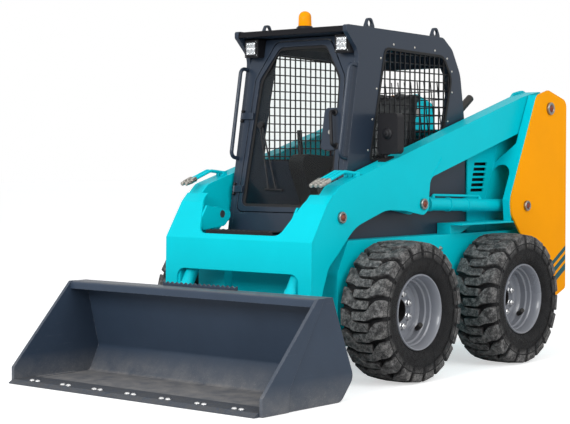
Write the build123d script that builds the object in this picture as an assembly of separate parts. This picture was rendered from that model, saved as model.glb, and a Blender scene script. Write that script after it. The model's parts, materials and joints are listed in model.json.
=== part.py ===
from build123d import *
from math import cos, hypot, radians, sin, tan
import os

# A skid-steer mini loader on four fixed wheels: a chassis tub with two rear uprights, a mesh-sided
# cab, a pair of lift arms joined by a front cross-member, and a bucket on a tilting coupler.
# Millimetres. X runs forward from midway between the axles, Y to the machine's left from its
# middle, Z up from the ground. The finished model is moved along X so that its box is centred.

# Fits
PIN_FIT = 0.08           # radial clearance of a turning pin in its bore
SEAT_FIT = 0.3           # gap between pieces that seat in each other
SWING = 6.0              # least gap beside a piece that swings

# Wheels
WHEELBASE = 1130.0
TRACK = 1470.0           # between the middles of the left and right tyres
TYRE_R = 412.0           # to the tips of the lugs
TYRE_W = 310.0
BEAD_R = 208.0
RIM_W = 258.0            # over the flanges
FLANGE_R = 222.0
FLANGE_T = 8.0
RIM_T = 12.0
DISC_Y = -45.0           # wheel disc, from the middle of the tyre towards the outside
DISC_DISH = 34.0
HUB_R = 112.0
HUB_T = 16.0
CAP_R = 58.0
SHAFT_R = 40.0
AXLE_TUBE_R = 78.0
AXLE_FLANGE_R = 110.0

# Chassis
BELLY_Z = 205.0
DECK_Z = 825.0
CASE_OUT = 545.0         # outer face of the drive case beside each pair of wheels
CASE_IN = 330.0
NOSE_X = 930.0
NOSE_RISE = 125.0        # how far belly slopes up to nose and tail
NOSE_RUN = 140.0
TAIL_RUN = 290.0
NOSE_SHOULDER_Z = 640.0
TAIL_X = -1290.0
PLATE = 12.0

# Rear uprights
UPRIGHT_IN = 432.0       # inner face of the inner plate
UPRIGHT_T = 15.0
PANEL_OUT = 647.0        # outer face of the coloured tail panel
PANEL_REAR_X = -1465.0
SHELF_Z = 893.0
SHELF_FRONT_X = -212.0
SLOT_W = 140.0           # slot for the lift cylinder in the upright's front plate
SLOT_TOP_Z = 1258.0

# Lift arms
ARM_OUT = 567.0
ARM_W = 110.0
ARM_PLATE = 14.0
ARM_WEB = 12.0
PIVOT_X = -1243.0
PIVOT_Z = 1633.0
PIVOT_PIN_R = 30.0
PIVOT_BOSS_R = 62.0
CROSS_T = 14.0
PIN_HEAD = 12.0          # how far a pin's head stands out, and how much wider it is
EAR_R = 72.0

# Lift and tilt cylinders
LIFT_BASE_X = -950.0
LIFT_BASE_Z = 988.0
LIFT_EYE_X = 116.0
LIFT_EYE_Z = 1021.0
LIFT_TUBE_R = 40.0
LIFT_ROD_R = 22.5
LIFT_NECK = 111.0        # from the tube's end to the rod's pin, at rest
LIFT_BACK = 84.0         # from the tube's floor to the piston, at rest
TILT_BASE_X = 926.0
TILT_BASE_Z = 962.0
TILT_EYE_X = 1279.0
TILT_EYE_Z = 371.0
TILT_Y = 410.0
TILT_TUBE_R = 38.0
TILT_ROD_R = 20.0
TILT_NECK = 158.0
TILT_BACK = 88.0
RAM_WALL = 8.0
RAM_GLAND = 45.0
RAM_PISTON = 25.0
RAM_PIN_R = 22.0
RAM_EYE_R = 44.0
RAM_EYE_W = 50.0
LUG_T = 13.0

# Coupler and bucket
HINGE_X = 1190.0
HINGE_Z = 170.0
HINGE_PIN_R = 26.0
HINGE_BOSS_R = 62.0
BUCKET_HALF = 962.0
BUCKET_TOP_Z = 567.0
BUCKET_GROUND = 3.0      # the resting floor clears the ground by this much
LIP_X = 2106.0
SIDE_FRONT_X = 2066.0
HEEL_X = 1308.0
HEEL_Z = 125.0
HEEL_R = 110.0
BACK_TOP_X = 1491.0
TOP_LIP = 129.0
SHEET = 12.0
EDGE_W = 190.0
EDGE_T = 22.0
WEAR_T = 9.0
COUPLER_T = 20.0
COUPLER_HALF = 600.0

# Cab
CAB_HALF = 440.0
CAB_WALL = 30.0
CAB_FRONT_X = 782.0      # front face at deck height
CAB_LEAN = 9.87          # degrees that the front leans back
CAB_REAR_X = -540.0
ROOF_Z = 2084.0          # at the visor's tip
ROOF_REAR_Z = 2062.0
ROOF_T = 40.0
VISOR_X = 712.0
FRAME_T = 50.0
SILL_Z = 962.0
FLOOR_T = 12.0
DOOR_T = 36.0
DOOR_RAIL = 30.0
GLASS_T = 6.0
DOOR_HINGE_Y = -420.0
KNUCKLE_R = 10.0
KNUCKLE_L = 40.0
HINGE_WIRE_R = 5.0
MESH_WIRE = 7.0
MESH_PITCH = 52.0
EYE_HOLE_R = 20.0
EYE_T = 16.0
LAMP = 108.0
LAMP_D = 60.0
HANDLE_R = 12.0
HANDLE_OUT = 65.0

# Engine bay
BAY_FRONT_X = -556.0
HOOD_SPLIT_X = -830.0
HOOD_Z = 1490.0
HOOD_T = 40.0
HOOD_REAR_X = -1438.0
REAR_DOOR_T = 35.0
REAR_DOOR_Z = 420.0
EXHAUST_R = 26.0

# Smaller places
HOOD_HINGE_Y = (-300.0, 300.0)
BEACON_X = 561.0
HANDLE_ENDS = (1300.0, 1850.0)   # heights of a grab handle's feet
SEAT_Z = 1180.0
MIRROR_X = 423.0
AUX_X = 1012.0           # where the attachment couplers join their tubes
AUX_Z = 1173.0
AUX_RUN = 258.0
AUX_PITCH = 34.0
AUX_TUBE_R = 9.0
AUX_NUT_R = 16.0
AUX_NUT_L = 40.0
AUX_PIN_R = 12.5
AUX_PIN_L = 44.0
STEP_Z = 857.0
STEP_HALF = 286.0
TREAD_HALF = 258.0
TREAD_H = 20.0
LUG_GAP = 5.0
REAR_WINDOW = (1290.0, 1800.0, 330.0)   # lowest and highest z, half width

FRONT_AXLE_X = WHEELBASE / 2
REAR_AXLE_X = -WHEELBASE / 2
WHEEL_Y = TRACK / 2
PANEL_IN = PANEL_OUT - PLATE
ARM_IN = ARM_OUT - ARM_W
ARM_MID = ARM_OUT - ARM_W / 2
CAB_IN = CAB_HALF - CAB_WALL
EAR_Y = TILT_Y - TILT_TUBE_R - RAM_WALL / 2 - SWING   # outer face of the ears inside the tilt cylinders
REAR_DOOR_X = HOOD_REAR_X - REAR_DOOR_T
REAR_HINGE_X = REAR_DOOR_X - KNUCKLE_R
REAR_HINGE_Y = UPRIGHT_IN - SWING
HOOD_HINGE_Z = HOOD_Z + KNUCKLE_R
REAR_X = REAR_HINGE_X - KNUCKLE_R
MID_X = (LIP_X + REAR_X) / 2
RAM_FLOOR = RAM_EYE_R + RAM_WALL   # where a cylinder's bore starts, from its lower pin
BACK_LEAN = (BACK_TOP_X - HEEL_X) / (BUCKET_TOP_Z - HEEL_Z)

CAB_PLANE = Plane(
    origin=(CAB_FRONT_X, 0, DECK_Z),
    x_dir=(0, 1, 0),
    z_dir=(cos(radians(CAB_LEAN)), 0, sin(radians(CAB_LEAN))),
)

# Top of an upright's inner plate at its front. Columns: x, z
INNER_TOP = (-1026, 1664)

# Front edge of the tail panel, from top to bottom. Columns: x, z, corner radius
PANEL_FRONT = [
    (-1091, 1721, 60),
    (-762, 1030, 160),
    (-775, 932, 60),
    (-874, 817, 200),
    (-963, 741, 100),
]

# Side of a lift arm, clockwise from the front foot. Columns: x, z, corner radius
ARM_SIDE = [
    (HINGE_X + 66, HINGE_Z + 40, 60),
    (1183, 536, 0),
    (1177, 828, 60),
    (1041, 1039, 60),
    (937, 1142, 90),
    (-1046, 1712, 0),
    (PIVOT_X - 7, PIVOT_Z + 118, 60),
    (PIVOT_X - 100, PIVOT_Z + 50, 60),
    (PIVOT_X - 100, PIVOT_Z - 60, 60),
    (PIVOT_X, PIVOT_Z - 97, 60),
    (-945, 1456, 0),
    (36, 1181, 60),
    (LIFT_EYE_X - 66, LIFT_EYE_Z + 60, 30),
    (LIFT_EYE_X - 66, LIFT_EYE_Z - 30, 40),
    (LIFT_EYE_X - 10, LIFT_EYE_Z - 68, 50),
    (300, 985, 0),
    (492, 994, 300),
    (797, 901, 300),
    (951, 756, 200),
    (1040, 680, 120),
    (1098, 530, 200),
    (HINGE_X - 70, HINGE_Z + 30, 60),
    (HINGE_X - 40, HINGE_Z - 72, 50),
    (HINGE_X + 50, HINGE_Z - 66, 50),
]


def between(first, last, share):
    """A point part of the way along a straight edge. Columns of the points: x, z, and more."""
    return tuple(a + (b - a) * share for a, b in zip(first[:2], last[:2]))


# Front of the cross-member in side view, from bottom to top, on the front edge of the arms
CROSS_SIDE = [
    between(ARM_SIDE[1], ARM_SIDE[0], 0.35),
    ARM_SIDE[1][:2],
    ARM_SIDE[2][:2],
    ARM_SIDE[3][:2],
    between(ARM_SIDE[3], ARM_SIDE[4], 0.5),
]

# Outline of the door in the leaning front, left half. Columns: y, z, corner radius
DOOR_SIDE = [
    (385, 976, 40),
    (348, 1787, 60),
    (211, 2013, 60),
]

# Side windows. Columns: x, z, corner radius
SIDE_WINDOW = [
    (487, 1285, 40),
    (334, 1962, 40),
    (-282, 1942, 40),
    (-372, 1806, 40),
    (-240, 1285, 40),
]


def cab_front_x(z):
    """Where the leaning front of the cab is at a height."""
    return CAB_FRONT_X - (z - DECK_Z) * tan(radians(CAB_LEAN))


def up_front(z):
    """Distance up the leaning front from the deck to a height."""
    return (z - DECK_Z) / cos(radians(CAB_LEAN))


def roof_top(x):
    """Height of the roof plate's top at a place along the machine."""
    slope = (ROOF_Z - ROOF_REAR_Z) / (VISOR_X + 281)
    return ROOF_Z - PLATE / 2 - (VISOR_X - PLATE - x) * slope


def arm_top(x):
    """Height of an arm's straight top edge."""
    (x0, z0, _), (x1, z1, _) = ARM_SIDE[4], ARM_SIDE[5]
    return z0 + (x - x0) * (z1 - z0) / (x1 - x0)


def rear_x(z):
    """Middle of the rear wall at a height within the rear window."""
    return -470 + (1836 - z) * (-524 + 470) / (1836 - 1509) + CAB_WALL / 2


def side_face(outline):
    """A face seen from the side. Columns of the outline: x, z, corner radius."""
    points = [(x, 0, z) for x, z, r in outline]
    return make_face(FilletPolyline(*points, radius=[r for x, z, r in outline], close=True))


def inset(outline, amount):
    """An anticlockwise outline moved inwards, with sharp corners."""
    edges = []
    for (x0, z0, _), (x1, z1, _) in zip(outline, outline[1:] + outline[:1]):
        length = hypot(x1 - x0, z1 - z0)
        across = ((z0 - z1) / length, (x1 - x0) / length)
        edges.append((*across, across[0] * x0 + across[1] * z0 + amount))
    corners = []
    for (a0, b0, c0), (a1, b1, c1) in zip(edges[-1:] + edges[:-1], edges):
        turn = a0 * b1 - a1 * b0
        corners.append(((c0 * b1 - c1 * b0) / turn, (a0 * c1 - a1 * c0) / turn, 0))
    return corners


def side_plate(outline, y_low, y_high):
    """A plate that stands along the machine, between two widths."""
    return Pos(0, y_low, 0) * extrude(side_face(outline), amount=y_high - y_low, dir=(0, 1, 0))


def straight_plate(points, y_low, y_high):
    """As side_plate, with sharp corners. Columns of the points: x, z."""
    return side_plate([(x, z, 0) for x, z in points], y_low, y_high)


def strip(points, thick, y_low, y_high):
    """A folded sheet: its outer line seen from the side, and its thickness towards the rear."""
    back = [(x - thick, z) for x, z in reversed(points)]
    return straight_plate(points + back, y_low, y_high)


def front_face(outline):
    """A face in the leaning front of the cab. Columns of the outline: y, z, corner radius."""
    points = [(y, up_front(z)) for y, z, r in outline]
    return make_face(FilletPolyline(*points, radius=[r for y, z, r in outline], close=True))


def front_slab(face, front, thick):
    """A slab in the leaning front: how far its face stands forward, and its thickness."""
    return CAB_PLANE * Pos(0, 0, front - thick) * extrude(face, amount=thick, dir=(0, 0, 1))


def block(x_low, x_high, y_low, y_high, z_low, z_high):
    """A box by its limits."""
    size = Box(x_high - x_low, y_high - y_low, z_high - z_low)
    return Pos((x_low + x_high) / 2, (y_low + y_high) / 2, (z_low + z_high) / 2) * size


def bar_y(x, z, radius, y_low, y_high):
    """A round bar across the machine."""
    return Pos(x, (y_low + y_high) / 2, z) * Rot(90, 0, 0) * Cylinder(radius, y_high - y_low)


def bar(start, end, radius):
    """A round bar between two points."""
    direction = Vector(end) - Vector(start)
    return Plane(origin=start, z_dir=direction) * Pos(0, 0, direction.length / 2) * Cylinder(
        radius, direction.length)


def bent_tube(points, radius, bend):
    """A round tube along straight runs with bends of one radius."""
    path = FilletPolyline(*points, radius=bend)
    return sweep(Plane(origin=path @ 0, z_dir=path % 0) * Circle(radius), path=path)


def other_side(shape):
    """The mirror image on the machine's right."""
    return mirror(shape, about=Plane.XZ)


def both_sides(shape):
    """A piece and its mirror image, apart from each other."""
    return [shape, other_side(shape)]


# Chassis and wheels

def chassis():
    """Tub with a drive case on each side, a belly plate, a front wall and sloped ends."""
    case = side_plate([
        (TAIL_X, BELLY_Z + NOSE_RISE, 0),
        (TAIL_X + TAIL_RUN, BELLY_Z, 0),
        (NOSE_X - NOSE_RUN, BELLY_Z, 40),
        (NOSE_X, BELLY_Z + NOSE_RISE, 40),
        (NOSE_X, NOSE_SHOULDER_Z, 60),
        (NOSE_X - 96, DECK_Z, 20),
        (TAIL_X, DECK_Z, 0),
    ], CASE_IN, CASE_OUT)
    pan = straight_plate([
        (TAIL_X, BELLY_Z + NOSE_RISE),
        (TAIL_X + TAIL_RUN, BELLY_Z),
        (NOSE_X - NOSE_RUN, BELLY_Z),
        (NOSE_X - NOSE_RUN / 2, BELLY_Z + NOSE_RISE / 2),
        (NOSE_X - NOSE_RUN / 2, DECK_Z - 40),
        (NOSE_X - NOSE_RUN / 2 - PLATE, DECK_Z - 40),
        (NOSE_X - NOSE_RUN / 2 - PLATE, BELLY_Z + NOSE_RISE / 2 + PLATE),
        (NOSE_X - NOSE_RUN - PLATE, BELLY_Z + PLATE),
        (TAIL_X + TAIL_RUN, BELLY_Z + PLATE),
        (TAIL_X, BELLY_Z + NOSE_RISE + PLATE),
    ], -CASE_IN, CASE_IN)
    return case + other_side(case) + pan


def axle_tubes():
    """Four housings that carry the wheel shafts out of the drive cases."""
    tubes = []
    end = WHEEL_Y + DISC_Y - HUB_T - SWING
    for x in (FRONT_AXLE_X, REAR_AXLE_X):
        tube = bar_y(x, TYRE_R, AXLE_TUBE_R, CASE_OUT, end)
        tube += bar_y(x, TYRE_R, AXLE_FLANGE_R, CASE_OUT, CASE_OUT + PLATE)
        tube -= bar_y(x, TYRE_R, SHAFT_R + PIN_FIT, CASE_OUT, end)
        tubes += both_sides(tube)
    return tubes


def ring_about(x, profile):
    """A revolved piece of a left wheel. Columns of the profile: radius, place across the tyre."""
    points = [(x, WHEEL_Y + across, TYRE_R + radius) for radius, across in profile]
    return revolve(make_face(Polyline(*points, close=True)), axis=Axis((x, 0, TYRE_R), (0, 1, 0)))


def tyre(x):
    """Tyre out to the lug tips, between the rim's flanges."""
    half = TYRE_W / 2
    bead = RIM_W / 2 - FLANGE_T - SEAT_FIT
    outer = [
        (BEAD_R, bead),
        (FLANGE_R + SEAT_FIT, bead),
        (FLANGE_R + 45, half - 6),
        (FLANGE_R + 95, half),
        (TYRE_R - 30, half - 2),
        (TYRE_R, half - 30),
    ]
    inner = [(radius, -across) for radius, across in reversed(outer)]
    return ring_about(x, outer + inner)


def rim(x):
    """Rim barrel, dished disc, hub with its cap, and the shaft that runs in the axle tube."""
    half = RIM_W / 2
    seat = BEAD_R - SEAT_FIT
    well = seat - RIM_T
    barrel = ring_about(x, [
        (well, -half),
        (FLANGE_R, -half),
        (FLANGE_R, FLANGE_T - half),
        (seat, FLANGE_T - half),
        (seat, half - FLANGE_T),
        (FLANGE_R, half - FLANGE_T),
        (FLANGE_R, half),
        (well, half),
    ])
    disc = ring_about(x, [
        (SHAFT_R, DISC_Y),
        (HUB_R + RIM_T, DISC_Y),
        (well, DISC_Y + DISC_DISH),
        (well, DISC_Y + DISC_DISH + RIM_T),
        (HUB_R + RIM_T, DISC_Y + RIM_T),
        (SHAFT_R, DISC_Y + RIM_T),
    ])
    hub = bar_y(x, TYRE_R, HUB_R, WHEEL_Y + DISC_Y - HUB_T, WHEEL_Y + DISC_Y)
    cap = bar_y(x, TYRE_R, CAP_R, WHEEL_Y + DISC_Y, WHEEL_Y + DISC_Y + DISC_DISH)
    shaft = bar_y(x, TYRE_R, SHAFT_R, CASE_OUT + SWING, WHEEL_Y + DISC_Y)
    return barrel + disc + hub + cap + shaft


# Rear uprights

def tail_panel():
    """Coloured outer plate of the left upright."""
    panel = side_plate(PANEL_FRONT + [
        (TAIL_X, 348, 0),
        (PANEL_REAR_X, 413, 30),
        (PANEL_REAR_X, 1690, 60),
        (PIVOT_X + 17, PIVOT_Z + 124, 40),
    ], PANEL_IN, PANEL_OUT)
    panel -= bar_y(PIVOT_X, PIVOT_Z, PIVOT_PIN_R + SEAT_FIT, PANEL_IN, PANEL_OUT)
    return panel - bar_y(LIFT_BASE_X, LIFT_BASE_Z, RAM_PIN_R + SEAT_FIT, PANEL_IN, PANEL_OUT)


def upright():
    """Inner plate, slotted front plate, rear plate and the shelf over the rear tyre, on the left."""
    (top_x, top_z, _), (knee_x, knee_z, _), (low_x, low_z, _) = PANEL_FRONT[:3]
    inner = side_plate([
        (*INNER_TOP, 0),
        (knee_x, knee_z, 0),
        (low_x, DECK_Z, 0),
        (TAIL_X, DECK_Z, 0),
        (HOOD_REAR_X, DECK_Z + NOSE_RISE, 0),
        (HOOD_REAR_X, 1690, 60),
        (PIVOT_X + 17, PIVOT_Z + 128, 60),
        (-1120, 1742, 40),
    ], UPRIGHT_IN, UPRIGHT_IN + UPRIGHT_T)
    front = strip([(low_x, SHELF_Z), (knee_x, knee_z), (top_x, top_z)], PLATE, UPRIGHT_IN, PANEL_IN)
    arm_way = extrude(make_face(Polyline(
        (top_x - PLATE, UPRIGHT_IN, SLOT_TOP_Z),
        (top_x - PLATE, ARM_OUT + SWING, SLOT_TOP_Z + SLOT_W),
        (top_x - PLATE, ARM_OUT + SWING, top_z),
        (top_x - PLATE, UPRIGHT_IN, top_z),
        close=True,
    )), amount=knee_x - top_x + PLATE, dir=(1, 0, 0))
    arch_z = SLOT_TOP_Z - SLOT_W / 2
    slot = block(top_x, knee_x, ARM_MID - SLOT_W / 2, ARM_MID + SLOT_W / 2, SHELF_Z, arch_z)
    arch = bar((top_x, ARM_MID, arch_z), (knee_x, ARM_MID, arch_z), SLOT_W / 2)
    front = front - arm_way - slot - arch
    rear = block(HOOD_REAR_X, HOOD_REAR_X + PLATE, UPRIGHT_IN, PANEL_IN, DECK_Z + NOSE_RISE, 1660)
    beside_cab = CAB_HALF + SWING
    shelf = block(low_x - SLOT_W, SHELF_FRONT_X, beside_cab, PANEL_IN, SHELF_Z - PLATE, SHELF_Z)
    stand = straight_plate([
        (SHELF_FRONT_X, SHELF_Z - PLATE),
        (SHELF_FRONT_X, DECK_Z),
        (SHELF_FRONT_X - 110, DECK_Z),
        (SHELF_FRONT_X - 260, SHELF_Z - PLATE),
    ], beside_cab, CASE_OUT)
    body = inner + front + rear + shelf + stand
    body -= bar_y(PIVOT_X, PIVOT_Z, PIVOT_PIN_R + SEAT_FIT, UPRIGHT_IN, UPRIGHT_IN + UPRIGHT_T)
    return body - bar_y(LIFT_BASE_X, LIFT_BASE_Z, RAM_PIN_R + SEAT_FIT, UPRIGHT_IN, UPRIGHT_IN + UPRIGHT_T)


def upright_pins():
    """Arm pivot pins and lower lift-cylinder pins, with heads outside the tail panels."""
    pins = []
    for x, z, radius in ((PIVOT_X, PIVOT_Z, PIVOT_PIN_R), (LIFT_BASE_X, LIFT_BASE_Z, RAM_PIN_R)):
        pin = bar_y(x, z, radius, UPRIGHT_IN, PANEL_OUT)
        pin += bar_y(x, z, radius + PIN_HEAD, PANEL_OUT, PANEL_OUT + PIN_HEAD)
        pins += both_sides(pin)
    return pins


# Engine bay

def side_louvre():
    """Fixed panel between the cab and the upright, with six slanted louvre slots."""
    (knee_x, knee_z, _), (low_x, _, _) = PANEL_FRONT[1:3]
    slope = (INNER_TOP[0] - knee_x) / (INNER_TOP[1] - knee_z)
    split_z = HOOD_Z - 2 * HOOD_T
    panel = straight_plate([
        (BAY_FRONT_X, DECK_Z),
        (BAY_FRONT_X, split_z),
        (knee_x + slope * (split_z - knee_z), split_z),
        (knee_x, knee_z),
        (low_x, DECK_Z),
    ], UPRIGHT_IN, UPRIGHT_IN + PLATE)
    slots = 6
    slot_l = 150
    slot_h = 20
    slot_pitch = 34
    for i in range(slots):
        z = SHELF_Z + 190 + i * slot_pitch
        x = BAY_FRONT_X - 36 - i * slot_pitch / 4
        panel -= straight_plate([
            (x, z),
            (x - slot_h / 4, z + slot_h),
            (x - slot_h / 4 - slot_l, z + slot_h),
            (x - slot_l, z),
        ], UPRIGHT_IN, UPRIGHT_IN + PLATE)
    return panel


def engine_block():
    """One plain mass at the engine's place and size, standing on the belly plate."""
    sump_top = BELLY_Z + 2 * NOSE_RISE
    return block(-1180, -620, -270, 270, sump_top, 1180) + block(-990, -700, -200, 200, BELLY_Z + PLATE, sump_top)


def bay_deck():
    """Fixed cover in front of the hood, with skirts down to the louvre panels."""
    deck = block(HOOD_SPLIT_X + SWING, BAY_FRONT_X, -UPRIGHT_IN, UPRIGHT_IN, HOOD_Z - HOOD_T, HOOD_Z)
    skirt = block(HOOD_SPLIT_X + SWING, BAY_FRONT_X, UPRIGHT_IN, UPRIGHT_IN + PLATE,
                  HOOD_Z - 2 * HOOD_T, HOOD_Z)
    return deck + skirt + other_side(skirt)


def exhaust():
    """Upright stack on the deck, with a bent tip."""
    return bent_tube([(-748, 250, HOOD_Z), (-748, 250, 1615), (-879, 250, 1703)], EXHAUST_R, 45)


def hood():
    """Engine lid behind the fixed deck, hinged along its front edge, with a folded rear edge."""
    side = REAR_HINGE_Y
    lid = block(HOOD_REAR_X + SWING, HOOD_SPLIT_X, -side, side, HOOD_Z - PLATE, HOOD_Z)
    lip = block(HOOD_REAR_X + SWING, HOOD_REAR_X + SWING + PLATE, -side, side, HOOD_Z - HOOD_T, HOOD_Z)
    edge = block(HOOD_REAR_X + SWING, HOOD_SPLIT_X, side - PLATE, side, HOOD_Z - HOOD_T, HOOD_Z)
    body = lid + lip + edge + other_side(edge)
    for y in HOOD_HINGE_Y:
        low, high = y - KNUCKLE_L / 2, y + KNUCKLE_L / 2
        leaf = block(HOOD_SPLIT_X - KNUCKLE_L, HOOD_SPLIT_X, low, high, HOOD_Z, HOOD_Z + KNUCKLE_R)
        leaf += bar_y(HOOD_SPLIT_X, HOOD_HINGE_Z, KNUCKLE_R, low, high)
        body += leaf - bar_y(HOOD_SPLIT_X, HOOD_HINGE_Z, HINGE_WIRE_R + PIN_FIT, low, high)
    return body


def hood_hinges():
    """Fixed hinge leaves on the deck, with the wire that the lid's knuckles turn on."""
    leaves = []
    for y in HOOD_HINGE_Y:
        leaf = bar_y(HOOD_SPLIT_X, HOOD_HINGE_Z, HINGE_WIRE_R, y - KNUCKLE_L, y + KNUCKLE_L)
        for middle in (y - 0.75 * KNUCKLE_L, y + 0.75 * KNUCKLE_L):
            low, high = middle - KNUCKLE_L / 6, middle + KNUCKLE_L / 6
            leaf += bar_y(HOOD_SPLIT_X, HOOD_HINGE_Z, KNUCKLE_R, low, high)
            leaf += block(HOOD_SPLIT_X, HOOD_SPLIT_X + KNUCKLE_L, low, high, HOOD_Z, HOOD_Z + KNUCKLE_R)
        leaves.append(leaf)
    return leaves


def rear_door():
    """Swinging tail door with a slotted grille, hinged at its left edge."""
    side = REAR_HINGE_Y
    top = HOOD_Z - HOOD_T - SWING
    door = block(REAR_DOOR_X, HOOD_REAR_X, -side, side, REAR_DOOR_Z, top)
    slots = 9
    slot_h = 28
    slot_pitch = 60
    for i in range(slots):
        z = top - 150 - i * slot_pitch
        door -= block(REAR_DOOR_X, HOOD_REAR_X, -300, 300, z - slot_h, z)
    for z in (REAR_DOOR_Z + 150, top - 150):
        door += Pos(REAR_HINGE_X, side, z) * Cylinder(KNUCKLE_R, KNUCKLE_L)
        door += block(REAR_HINGE_X, REAR_DOOR_X, side - KNUCKLE_R, side + KNUCKLE_R / 2,
                      z - KNUCKLE_L / 2, z + KNUCKLE_L / 2)
        door -= Pos(REAR_HINGE_X, side, z) * Cylinder(HINGE_WIRE_R + PIN_FIT, KNUCKLE_L)
    return door


def rear_hinges():
    """Fixed hinge wires and arms on the left upright's rear plate."""
    leaves = []
    side = REAR_HINGE_Y
    top = HOOD_Z - HOOD_T - SWING
    for z in (REAR_DOOR_Z + 150, top - 150):
        leaf = Pos(REAR_HINGE_X, side, z) * Cylinder(HINGE_WIRE_R, 2 * KNUCKLE_L)
        for end in (z - KNUCKLE_L * 0.75, z + KNUCKLE_L * 0.75):
            leaf += Pos(REAR_HINGE_X, side, end) * Cylinder(KNUCKLE_R, KNUCKLE_L / 3)
            leaf += block(REAR_HINGE_X - KNUCKLE_R / 2, REAR_HINGE_X + KNUCKLE_R / 2, side, UPRIGHT_IN + 40,
                          end - KNUCKLE_L / 6, end + KNUCKLE_L / 6)
            leaf += block(REAR_HINGE_X - KNUCKLE_R / 2, HOOD_REAR_X, UPRIGHT_IN + KNUCKLE_R, UPRIGHT_IN + 40,
                          end - KNUCKLE_L / 6, end + KNUCKLE_L / 6)
        leaves.append(leaf)
    return leaves


# Cab

def cab_side():
    """Left wall with its window, from the deck to the roof's edge and out to the visor."""
    wall = side_plate([
        (CAB_FRONT_X, DECK_Z, 0),
        (cab_front_x(1925), 1925, 105),
        (VISOR_X, ROOF_Z - ROOF_T, 20),
        (VISOR_X, ROOF_Z, 15),
        (-281, ROOF_REAR_Z, 60),
        (-383, 1991, 90),
        (-475, 1836, 200),
        (-530, 1509, 200),
        (CAB_REAR_X, DECK_Z, 0),
    ], CAB_IN, CAB_HALF)
    return wall - side_plate(SIDE_WINDOW, CAB_IN, CAB_HALF)


def roof():
    """Roof plate between the walls, down to the top of the rear wall."""
    return straight_plate([
        (VISOR_X, ROOF_Z - ROOF_T),
        (VISOR_X - PLATE, ROOF_Z - PLATE / 2),
        (-281, ROOF_REAR_Z - PLATE / 2),
        (-378, 1988),
        (-378 + CAB_WALL, 1988 - CAB_WALL),
        (-270, ROOF_REAR_Z - ROOF_T),
    ], -CAB_IN, CAB_IN)


def rear_wall():
    """Wall behind the seat, with the rear window."""
    wall = straight_plate([
        (-378, 1988),
        (-470, 1836),
        (-524, 1509),
        (CAB_REAR_X + 6, DECK_Z),
        (CAB_REAR_X + 6 + CAB_WALL, DECK_Z),
        (-524 + CAB_WALL, 1509),
        (-470 + CAB_WALL, 1836),
        (-378 + CAB_WALL, 1988 - CAB_WALL),
    ], -CAB_IN, CAB_IN)
    return wall - block(CAB_REAR_X, -378 + CAB_WALL, -330, 330, 1290, 1880)


def cab_floor():
    """Floor plate on the deck, between the walls."""
    return block(CAB_REAR_X + CAB_WALL + PLATE, CAB_FRONT_X - FRAME_T - PLATE, -CAB_IN, CAB_IN, DECK_Z, DECK_Z + FLOOR_T)


def door_outline(grow):
    """The door's outline, larger by a margin all round."""
    left = [(y + grow, z, r) for y, z, r in DOOR_SIDE]
    left[0] = (left[0][0], left[0][1] - grow, left[0][2])
    left[-1] = (left[-1][0], left[-1][1] + grow, left[-1][2])
    return left + [(-y, z, r) for y, z, r in reversed(left)]


def front_frame():
    """Front of the cab between the walls, round the door."""
    top = ROOF_Z - ROOF_T - PLATE
    outer = front_face([(CAB_IN, SILL_Z, 0), (CAB_IN, top, 0), (-CAB_IN, top, 0), (-CAB_IN, SILL_Z, 0)])
    return front_slab(outer - front_face(door_outline(SWING)), 0, FRAME_T)


def front_sill():
    """Dark panel under the door."""
    face = front_face([(CAB_IN, DECK_Z, 0), (CAB_IN, SILL_Z, 0), (-CAB_IN, SILL_Z, 0), (-CAB_IN, DECK_Z, 0)])
    return front_slab(face, 0, FRAME_T) - block(0, CAB_FRONT_X, -CAB_IN, CAB_IN, DECK_Z - FRAME_T, DECK_Z)


LATCH = [                # panel on the door's left rail; columns: y, z, corner radius
    (225, 1350, 30),
    (225, 1600, 30),
    (360, 1600, 0),
    (366, 1350, 0),
]
HINGE_HEIGHTS = (1110, 1560)


def door_half(z):
    """Half width of the door below its knees."""
    (y0, z0, _), (y1, z1, _) = DOOR_SIDE[:2]
    return y0 + (z - z0) * (y1 - y0) / (z1 - z0)


def door_frame():
    """Door rails with the latch panel and two hinge knuckles."""
    opening = front_face(door_outline(-DOOR_RAIL)) - front_face(LATCH)
    frame = front_slab(front_face(door_outline(0)) - opening, 0, DOOR_T)
    for z in HINGE_HEIGHTS:
        v = up_front(z)
        edge = DOOR_RAIL - door_half(z)
        knuckle = Pos(DOOR_HINGE_Y, v, KNUCKLE_R) * Rot(90, 0, 0) * Cylinder(KNUCKLE_R, KNUCKLE_L)
        leaf = Pos((DOOR_HINGE_Y + edge) / 2, v, KNUCKLE_R) * Box(edge - DOOR_HINGE_Y, KNUCKLE_L, KNUCKLE_R)
        foot = Pos(edge - KNUCKLE_R, v, KNUCKLE_R / 2) * Box(2 * KNUCKLE_R, KNUCKLE_L, KNUCKLE_R)
        hole = Pos(DOOR_HINGE_Y, v, KNUCKLE_R) * Rot(90, 0, 0) * Cylinder(HINGE_WIRE_R + PIN_FIT, KNUCKLE_L)
        frame = frame + CAB_PLANE * (knuckle + leaf + foot - hole)
    return frame


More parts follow.
